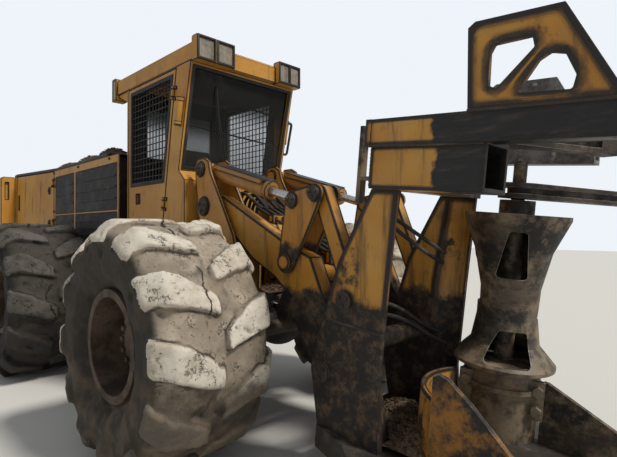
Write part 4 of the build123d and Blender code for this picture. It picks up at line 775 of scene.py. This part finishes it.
def add_bolt(form, place, direction, across=0.030):
    seat = facing(place, direction)
    add_disc(form, seat, across * 0.78, across * 0.14, segments=18, soft=across * 0.03, lift=-0.001)
    add_disc(form, seat, across * 0.577, across * 0.62, segments=6, soft=across * 0.06, lift=across * 0.12)


def ring_places(centre, direction, radius, count, turn=0.0):
    seat = facing(centre, direction)
    for step in range(count):
        angle = math.tau * step / count + turn
        yield seat @ Vector((radius * math.cos(angle), radius * math.sin(angle), 0))


# Radius of each ring of bolts, how many it has, its turn and the size of a head.
WHEEL_RINGS = ((0.150, 12, 0.0, 0.034), (0.250, 16, 0.1, 0.038))
for wheel in WHEELS:
    centre = wheel_centre(wheel)
    side = 1 if centre.y > 0 else -1
    out = (0, side, 0)
    form = bmesh.new()
    for radius, count, turn, size in WHEEL_RINGS:
        face_y = outer_face(f"rim_{wheel}", centre.x + radius, centre.z, side)
        for place in ring_places(Vector((centre.x, face_y, centre.z)), out, radius, count, turn):
            add_bolt(form, place, out, size)
    end_piece(f"wheel_bolts_{wheel}", form, f"wheel_{wheel}", rim_rust)
print("rings of bolts on each wheel:", len(WHEEL_RINGS), "the last on a face at", round(face_y, 3))

# %% [markdown]
# Each big pin ends in a round cap that three bolts hold. The table lists the pins that show, with the
# solid that carries each. The cap is set on that solid's own outer face, so that it can't float.

# %% Pin caps
# Name, solid, body, X, Z, radius of the cap.
PINS = (
    ("tower_top", "boom_towers", "front_body", 0.883, 2.128, 0.050),
    ("boom_pivot", "boom_towers", "front_body", 0.933, 1.808, 0.066),
    ("lever_pivot", "tilt_levers", "tilt_levers", 1.933, 1.378, 0.058),
    ("lever_rear", "tilt_levers", "tilt_levers", 2.003, 1.808, 0.048),
    ("lever_front", "tilt_levers", "tilt_levers", 2.218, 1.848, 0.048),
    ("head_upper", "head_posts", "head", 2.493, 1.168, 0.058),
    ("head_lower", "head_posts", "head", 2.303, 0.688, 0.062),
    ("lift_base", "lift_barrels", "lift_barrels", 0.903, 1.178, 0.040),
)
for name, node, body, x, z, radius in PINS:
    form = bmesh.new()
    for side in (-1, 1):
        face_y = outer_face(node, x, z, side)
        if face_y is None:
            print(name, "has no face on side", side)
            continue
        place = Vector((x, face_y - side * 0.001, z))
        out = (0, side, 0)
        seat = facing(place, out)
        add_disc(form, seat, radius, 0.012, segments=32, soft=0.004)
        for spot in ring_places(place + Vector((0, side * 0.011, 0)), out, radius * 0.58, 3, turn=0.5):
            add_bolt(form, spot, out, across=0.022)
    if len(form.verts):
        end_piece(f"pin_caps_{name}", form, body, dark_casting)
    else:
        form.free()
print("pins with caps:", len(PINS))

# %% [markdown]
# Weld beads run where plates meet. A bead is a small ring that is extruded along the seam in short steps,
# each a little thicker or thinner than the last, which gives the ripple of a hand-laid weld.

# %% Weld beads
BEAD = 0.008
BEAD_STEP = 0.011


def add_weld(form, start, end, size=BEAD):
    start = Vector(start)
    run = Vector(end) - start
    seat = facing(start, run)
    made = bmesh.ops.create_circle(form, cap_ends=True, segments=7, radius=size, matrix=seat)
    cap = made["verts"][0].link_faces[0]
    steps = max(2, round(run.length / BEAD_STEP))
    for step in range(steps):
        out = bmesh.ops.extrude_discrete_faces(form, faces=[cap])
        cap = out["faces"][0]
        bmesh.ops.translate(form, verts=cap.verts, vec=run / steps)
        swell = 1.28 if step % 2 == 0 else 1 / 1.28
        middle = start + run * ((step + 1) / steps)
        bmesh.ops.scale(form, verts=cap.verts, vec=(swell, swell, swell), space=Matrix.Translation(-middle))


# The head leans forward about its lower pin, so its details are placed along its own axes.
HEAD_PIN = Vector((2.303, 0, 0.688))
HEAD_LEAN = math.radians(5.5)


def on_head(x, y, z):
    """The place of a point that is given along the leaning head's axes, from its lower pin."""
    forward = x * math.cos(HEAD_LEAN) + z * math.sin(HEAD_LEAN)
    up = z * math.cos(HEAD_LEAN) - x * math.sin(HEAD_LEAN)
    return HEAD_PIN + Vector((forward, y, up))


# Each row is a seam: start and end along the head's axes.
HEAD_SEAMS = (
    ((0.871, -0.576, 1.581), (1.526, -0.576, 1.581)),
    ((0.290, -0.576, 1.430), (0.960, -0.551, 1.430)),
    ((0.298, -0.551, 1.200), (0.298, -0.551, 1.420)),
    ((0.060, -0.506, 0.350), (0.440, -0.506, 0.350)),
)
form = bmesh.new()
for start, end in HEAD_SEAMS:
    add_weld(form, on_head(*start), on_head(*end))
print("beads on the head:", len(form.verts), "points")
end_piece("weld_beads_head", form, "head", dark_casting)

# %% [markdown]
# The windshield sits in a black rubber gasket. It is a flat ring: one face, inset, its middle deleted,
# given a thickness and rounded, then moved to its place. Smaller rings are the roof lamps' bezels.

# %% Gasket and lamp bezels


def add_ring(form, place, width, height, band, thick, soft=0.004):
    """A rectangular ring, its width along the place's X and its height along Y, standing out along Z."""
    made = bmesh.ops.create_grid(form, x_segments=1, y_segments=1, size=0.5)
    verts = made["verts"]
    bmesh.ops.scale(form, verts=verts, vec=(width, height, 1))
    face = verts[0].link_faces[0]
    bmesh.ops.inset_individual(form, faces=[face], thickness=band, depth=0)
    border = list(dict.fromkeys(f for v in verts for f in v.link_faces if f != face))
    bmesh.ops.delete(form, geom=[face], context="FACES_ONLY")
    out = bmesh.ops.extrude_face_region(form, geom=border, use_keep_orig=True)
    raised = [g for g in out["geom"] if isinstance(g, bmesh.types.BMVert)]
    bmesh.ops.translate(form, verts=raised, vec=(0, 0, thick))
    everything = list({v for f in border for v in f.verts} | set(raised))
    rims = [e for e in {e for v in raised for e in v.link_edges} if e.verts[0] in raised and e.verts[1] in raised]
    rims = [e for e in rims if len(e.link_faces) == 2 and e.calc_face_angle(0) > 0.5]
    beveled = bmesh.ops.bevel(form, geom=rims, offset=soft, segments=2, profile=0.5, affect="EDGES", material=-1)
    everything = [v for v in everything if v.is_valid] + [v for v in beveled["verts"] if v.is_valid]
    bmesh.ops.transform(form, matrix=place, verts=list(dict.fromkeys(everything)))


SHIELD_FOOT = Vector((0.643, 0, 2.138))
SHIELD_HEAD = Vector((0.843, 0, 3.038))
SHIELD_WIDTH, SHIELD_HEIGHT = 1.150, 0.912
shield_up = (SHIELD_HEAD - SHIELD_FOOT).normalized()
shield_out = shield_up.cross(Vector((0, -1, 0)))
shield_middle = (SHIELD_FOOT + SHIELD_HEAD) / 2
shield_place = Matrix((
    (0, shield_up.x, shield_out.x, shield_middle.x), (1, shield_up.y, shield_out.y, shield_middle.y),
    (0, shield_up.z, shield_out.z, shield_middle.z), (0, 0, 0, 1),
))
form = bmesh.new()
seat = shield_place @ Matrix.Translation((0, 0.006, -0.002))
add_ring(form, seat, SHIELD_WIDTH, SHIELD_HEIGHT, band=0.040, thick=0.010)
end_piece("windshield_gasket", form, "front_body", gasket_rubber)

# Middle across and width of each front lens.
LAMP_FRONTS = ((-0.505, 0.150), (-0.310, 0.150), (0.390, 0.112), (0.525, 0.112))
LAMP_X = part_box("cab_roof")[1][0] - 0.002
LAMP_Z = 3.158
form = bmesh.new()
for middle_y, width in LAMP_FRONTS:
    place = Matrix(((0, 0, 1, LAMP_X), (1, 0, 0, middle_y), (0, 1, 0, LAMP_Z), (0, 0, 0, 1)))
    add_ring(form, place, width + 0.036, 0.205, 0.024, 0.010, soft=0.003)
end_piece("lamp_bezels", form, "front_body", gasket_rubber)
print("gasket and", len(LAMP_FRONTS), "lamp bezels")

# %% [markdown]
# Black hydraulic hoses leave the boom's clamp bars, rise in a bundle over the pivot and come down to a bar
# between the two arms. Each is one smooth curve with a round section. The bundle is the same control
# points moved across, each hose a little higher or lower than the next.

# %% Hoses over the boom's pivot
HOSE_RADIUS = 0.016
HEAD_HOSE_RADIUS = 0.014
# The bar that the bundle ends at.
BAR_X, BAR_Z, BAR_HALF = 0.846, 1.628, 0.20
# Along the machine and up, from the boom's lines back over the pivot and down.
PIVOT_ARC = (
    (1.262, 1.790), (1.205, 1.822), (1.120, 1.880), (1.030, 1.935), (0.930, 1.940), (0.862, 1.880),
    (0.836, 1.790), (0.838, 1.700), (0.846, 1.640),
)
HOSE_OFFSETS = ((-0.150, 0.000), (-0.090, 0.024), (-0.030, -0.012), (0.030, 0.018), (0.090, -0.008), (0.150, 0.020))


def hose(name, points, radius, body):
    """A fixed hose: one smooth curve with a round section; it gives back the length that its line has."""
    data = bpy.data.curves.new(name, "CURVE")
    data.dimensions = "3D"
    spline = data.splines.new("NURBS")
    spline.points.add(len(points) - 1)
    for spot, place in zip(spline.points, points):
        spot.co = (*place, 1)
    spline.order_u = 3
    spline.use_endpoint_u = True
    data.resolution_u = 8
    line = bpy.data.objects.new(name, data)
    bpy.context.collection.objects.link(line)
    graph = bpy.context.evaluated_depsgraph_get()
    plain = bpy.data.meshes.new_from_object(line.evaluated_get(graph))
    ends = [[plain.vertices[number].co for number in edge.vertices] for edge in plain.edges]
    length = sum((first - last).length for first, last in ends)
    bpy.data.meshes.remove(plain)
    data.bevel_depth = radius
    data.bevel_resolution = 4
    data.use_fill_caps = True
    data.materials.append(hose_rubber)
    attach(line, body)
    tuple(points[0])
    return length


for number, (across_y, lift) in enumerate(HOSE_OFFSETS):
    route = [
        (x + lift * 0.6 * min(1.0, step / 3), across_y * (1.0 if step < 6 else 0.8), z + lift * min(1.0, step / 3))
        for step, (x, z) in enumerate(PIVOT_ARC)
    ]
    length = hose(f"pivot_hose_{number}", route, HOSE_RADIUS, "boom")
print("hoses over the pivot:", len(HOSE_OFFSETS), "each about", round(length, 2), "m")

form = bmesh.new()
add_disc(form, facing(Vector((BAR_X, -BAR_HALF, BAR_Z)), (0, 1, 0)), 0.024, 2 * BAR_HALF, segments=20)
for across_y, lift in HOSE_OFFSETS:
    fitting = facing(Vector((BAR_X + lift * 0.6, across_y * 0.8, BAR_Z - 0.006)), (0, 0, 1))
    add_disc(form, fitting, 0.023, 0.05 + lift, segments=6)
for side in (-1, 1):
    add_disc(form, facing(Vector((BAR_X, side * BAR_HALF, BAR_Z)), (0, side, 0)), 0.040, 0.14, segments=24)
end_piece("hose_bar", form, "boom", dark_casting)

# %% [markdown]
# On the head, hoses cross from the boom's nose to the motors: two high up between the posts and two low down.
# They ride on the head.

# %% Hoses on the head
# Each row is a hose's control points, in place.
HEAD_HOSES = (
    ((2.700, -0.318, 1.690), (2.640, -0.240, 1.700), (2.585, -0.120, 1.690), (2.575, 0.020, 1.640),
     (2.620, 0.160, 1.560), (2.690, 0.260, 1.480), (2.720, 0.318, 1.440)),
    ((2.700, -0.318, 1.640), (2.660, -0.220, 1.620), (2.620, -0.080, 1.580), (2.620, 0.060, 1.520),
     (2.660, 0.180, 1.440), (2.705, 0.318, 1.370)),
    ((2.520, -0.318, 1.120), (2.520, -0.240, 1.130), (2.530, -0.100, 1.110), (2.560, 0.040, 1.050),
     (2.610, 0.160, 0.960), (2.650, 0.260, 0.900), (2.660, 0.318, 0.880)),
    ((2.560, -0.318, 1.060), (2.560, -0.220, 1.060), (2.580, -0.060, 1.020), (2.620, 0.080, 0.950),
     (2.680, 0.200, 0.860), (2.720, 0.318, 0.800)),
)
for number, route in enumerate(HEAD_HOSES):
    length = hose(f"head_hose_{number}", [Vector(place) for place in route], HEAD_HOSE_RADIUS, "head")
print("head hoses:", len(HEAD_HOSES), "the last", round(length, 2), "m")

# %% [markdown]
# Bark, needles and crushed leaves gather wherever the machine is hollow. A heap is a grid whose points are
# lifted towards the middle and roughened by noise, and sunk at its rim so that it meets the steel. Loose
# flakes lie on it: thin chips, every one turned another way.

# %% Litter


def add_heap(form, middle, size, height, seed):
    made = bmesh.ops.create_grid(form, x_segments=36, y_segments=36, size=0.5)
    for vert in made["verts"]:
        x, y = vert.co.x, vert.co.y
        from_middle = math.hypot(x, y) * 2
        rise = max(0.0, 1 - from_middle ** 2)
        rough = noise.noise(Vector((x * 9, y * 9, seed))) * 0.5
        rough += noise.noise(Vector((x * 27, y * 27, seed))) * 0.25
        vert.co.z = height * (rise * (1 + rough) - 0.12)
    bmesh.ops.scale(form, verts=made["verts"], vec=(size[0], size[1], 1))
    bmesh.ops.translate(form, verts=made["verts"], vec=middle)
    return made["verts"]


def add_flakes(form, middle, size, height, count):
    for _ in range(count):
        angle = random.uniform(0, math.tau)
        away = math.sqrt(random.uniform(0, 0.85))
        x = middle[0] + size[0] / 2 * away * math.cos(angle)
        y = middle[1] + size[1] / 2 * away * math.sin(angle)
        z = middle[2] + height * (1 - away ** 2) + random.uniform(0.0, 0.006)
        turn = Matrix.Rotation(random.uniform(0, math.tau), 4, "Z")
        turn = turn @ Matrix.Rotation(random.uniform(-0.7, 0.7), 4, "X")
        shape = Matrix.Diagonal((random.uniform(0.010, 0.042), random.uniform(0.005, 0.014), 0.003, 1))
        place = Matrix.Translation((x, y, z)) @ turn @ shape
        bmesh.ops.create_cube(form, size=1, matrix=place)


# Body, middle of the heap's foot, size, height and flakes.
HEAPS = (
    ("pocket", "head", (2.930, -0.160, 0.345), (0.44, 0.56), 0.150, 420),
    ("saw_deck", "head", (2.560, -0.040, 0.335), (0.46, 0.56), 0.110, 260),
    ("hood_front", "rear_body", (-1.000, -0.500, 2.450), (0.62, 0.28), 0.095, 190),
    ("hood_middle", "rear_body", (-1.600, -0.500, 2.450), (0.74, 0.28), 0.075, 190),
    ("hood_rear", "rear_body", (-2.300, -0.520, 2.450), (0.70, 0.26), 0.055, 150),
    ("front_deck", "front_body", (1.150, 0.0, 1.085), (0.50, 0.36), 0.035, 110),
)
for number, (name, body, middle, size, height, count) in enumerate(HEAPS):
    form = bmesh.new()
    add_heap(form, middle, size, height, number * 5.0)
    add_flakes(form, middle, size, height, count)
    end_piece(f"litter_{name}", form, body, litter)
print("heaps of litter:", len(HEAPS))

# %% [markdown]
# The cab's trim: two thin bars behind the windshield, a wiper on it, a paddle latch in each door's box,
# and a round canister on each front post. All are rounds and blocks with broken edges.

# %% Cab trim


def add_block(form, middle, size, soft=0.004, turn=None):
    """A block with broken edges about its middle, turned before it is placed."""
    made = bmesh.ops.create_cube(form, size=1)
    verts = made["verts"]
    bmesh.ops.scale(form, verts=verts, vec=size)
    edges = list({edge for vert in verts for edge in vert.link_edges})
    rounded = bmesh.ops.bevel(form, geom=edges, offset=soft, segments=2, profile=0.5, affect="EDGES", material=-1)
    verts = [vert for vert in dict.fromkeys(list(verts) + rounded["verts"]) if vert.is_valid]
    place = Matrix.Translation(middle) @ (turn if turn is not None else Matrix.Identity(4))
    bmesh.ops.transform(form, matrix=place, verts=verts)


# Two thin bars cross behind the pane: height up the pane from its middle, at the right and the left post.
SHIELD_BARS = ((-0.055, -0.115), (0.245, 0.175))
form = bmesh.new()
for right_up, left_up in SHIELD_BARS:
    right_end = shield_place @ Vector((-0.520, right_up, -0.045))
    run = shield_place @ Vector((0.520, left_up, -0.045)) - right_end
    add_disc(form, facing(right_end, run), 0.008, run.length, segments=12, soft=0.002)
end_piece("shield_bars", form, "front_body", dark_casting)

form = bmesh.new()
wiper_foot = shield_place @ Vector((-0.10, -0.400, 0.020))
wiper_head = shield_place @ Vector((-0.28, 0.10, 0.022))
arm_turn = (wiper_head - wiper_foot).to_track_quat("Z", "X").to_matrix().to_4x4()
add_disc(form, facing(wiper_foot, shield_out), 0.026, 0.022)
add_block(form, (wiper_foot + wiper_head) / 2, (0.012, 0.010, (wiper_head - wiper_foot).length), 0.003, arm_turn)
add_block(form, wiper_head, (0.010, 0.020, 0.46), 0.003, arm_turn @ Matrix.Rotation(0.25, 4, "Y"))
end_piece("wiper", form, "front_body", gasket_rubber)

LATCH_X = -0.147
for side, body in ((-1, "cab_door_right"), (1, "cab_door_left")):
    form = bmesh.new()
    add_block(form, (LATCH_X, side * 0.585, 1.918), (0.084, 0.010, 0.084), 0.003)
    add_block(form, (LATCH_X, side * 0.594, 1.905), (0.030, 0.012, 0.052), 0.004)
    add_disc(form, facing(Vector((LATCH_X, side * 0.588, 1.945)), (0, side, 0)), 0.009, 0.012)
    end_piece(f"door_latch_{body}", form, body, black_enamel)

form = bmesh.new()
for side in (-1, 1):
    low = Vector((0.668, side * 0.622, 2.520))
    high = Vector((0.722, side * 0.622, 2.770))
    axis = (high - low).normalized()
    add_disc(form, facing(low, axis), 0.034, (high - low).length, segments=28, soft=0.008)
    for share in (0.06, 0.86):
        add_disc(form, facing(low + (high - low) * share, axis), 0.037, 0.022, segments=28)
    add_block(form, (low + high) / 2 - Vector((0.0, side * 0.02, 0.0)), (0.030, 0.030, 0.12), 0.004)
end_piece("post_canisters", form, "front_body", cab_paint)
print("cab trim made")

# %% [markdown]
# The hood: latches on each engine door, and bolts along the bay frames.

# %% Hood trim
LATCH_PLACES = ((-2.68, 1.70), (-2.68, 2.15))
BAY_BOLTS_X = (-2.540, -1.640, -0.700)
BAY_BOLTS_Z = (1.52, 1.86, 2.20, 2.38)
hood_count = 0
for side, body in ((-1, "engine_door_right"), (1, "engine_door_left")):
    form = bmesh.new()
    for x, z in LATCH_PLACES:
        face_y = outer_face(body, x, z, side)
        if face_y is None:
            continue
        add_block(form, (x, face_y + side * 0.005, z), (0.060, 0.012, 0.100), 0.004)
        add_disc(form, facing(Vector((x, face_y + side * 0.009, z)), (0, side, 0)), 0.016, 0.012)
        hood_count += 1
    end_piece(f"latches_{body}", form, body, black_enamel)

form = bmesh.new()
for side in (-1, 1):
    for x in BAY_BOLTS_X:
        for z in BAY_BOLTS_Z:
            face_y = outer_face("bay_frames", x, z, side)
            if face_y is None:
                continue
            add_bolt(form, (x, face_y, z), (0, side, 0), across=0.022)
            hood_count += 1
end_piece("bay_bolts", form, "rear_body", dark_casting)
print("latches and bolts on the hood:", hood_count)

# %% [markdown]
# The stage is a plain pale floor, and the light is a soft sky with a broad sun from high up and ahead. The
# sky that the camera sees, also through glass, is near white, brighter than the one that lights.

# %% Floor and light
FLOOR_HALF = 40.0
# The sky as it lights the machine, and as the camera sees it.
SKY_LIGHT, SKY_SEEN = 0.44, 0.95
SUN_POWER, SUN_WIDTH = 2.9, math.radians(9)
floor_mesh = bpy.data.meshes.new("floor")
floor_form = bmesh.new()
bmesh.ops.create_grid(floor_form, x_segments=1, y_segments=1, size=FLOOR_HALF)
floor_form.to_mesh(floor_mesh)
floor_form.free()
floor = bpy.data.objects.new("floor", floor_mesh)
bpy.context.collection.objects.link(floor)
floor_finish = Finish("floor_plain", roughness=0.9)
floor_finish.colour((0.62, 0.60, 0.56))
floor_mesh.materials.append(floor_finish.material)
floor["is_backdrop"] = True

world = bpy.data.worlds.new("sky")
bpy.context.scene.world = world
world.use_nodes = True
sky = world.node_tree
path = sky.nodes.new("ShaderNodeLightPath")
seen = sky.nodes.new("ShaderNodeMath")
seen.operation = "MAXIMUM"
for socket, ray in zip(seen.inputs, ("Is Camera Ray", "Is Transmission Ray")):
    sky.links.new(path.outputs[ray], socket)
strength = sky.nodes.new("ShaderNodeMapRange")
strength.inputs["To Min"].default_value = SKY_LIGHT
strength.inputs["To Max"].default_value = SKY_SEEN
sky.links.new(seen.outputs["Value"], strength.inputs["Value"])
backdrop = sky.nodes["Background"]
backdrop.inputs["Color"].default_value = (0.90, 0.95, 1.0, 1)
sky.links.new(strength.outputs["Result"], backdrop.inputs["Strength"])

SUN_FROM = Vector((0.60, 0.16, 0.78))
sun_data = bpy.data.lights.new("sun", "SUN")
sun_data.energy = SUN_POWER
sun_data.angle = SUN_WIDTH
sun_data.color = (1.0, 0.965, 0.90)
sun = bpy.data.objects.new("sun", sun_data)
sun.rotation_euler = SUN_FROM.to_track_quat("Z", "Y").to_euler()
bpy.context.collection.objects.link(sun)
print("floor and light set")

# %% [markdown]
# The last cell keeps the boxes of the solids and of the dressed machine.

# %% Finish the scene
visual_box = [list(corner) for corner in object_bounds()]
print("dressed from", visual_box[0], "to", visual_box[1])
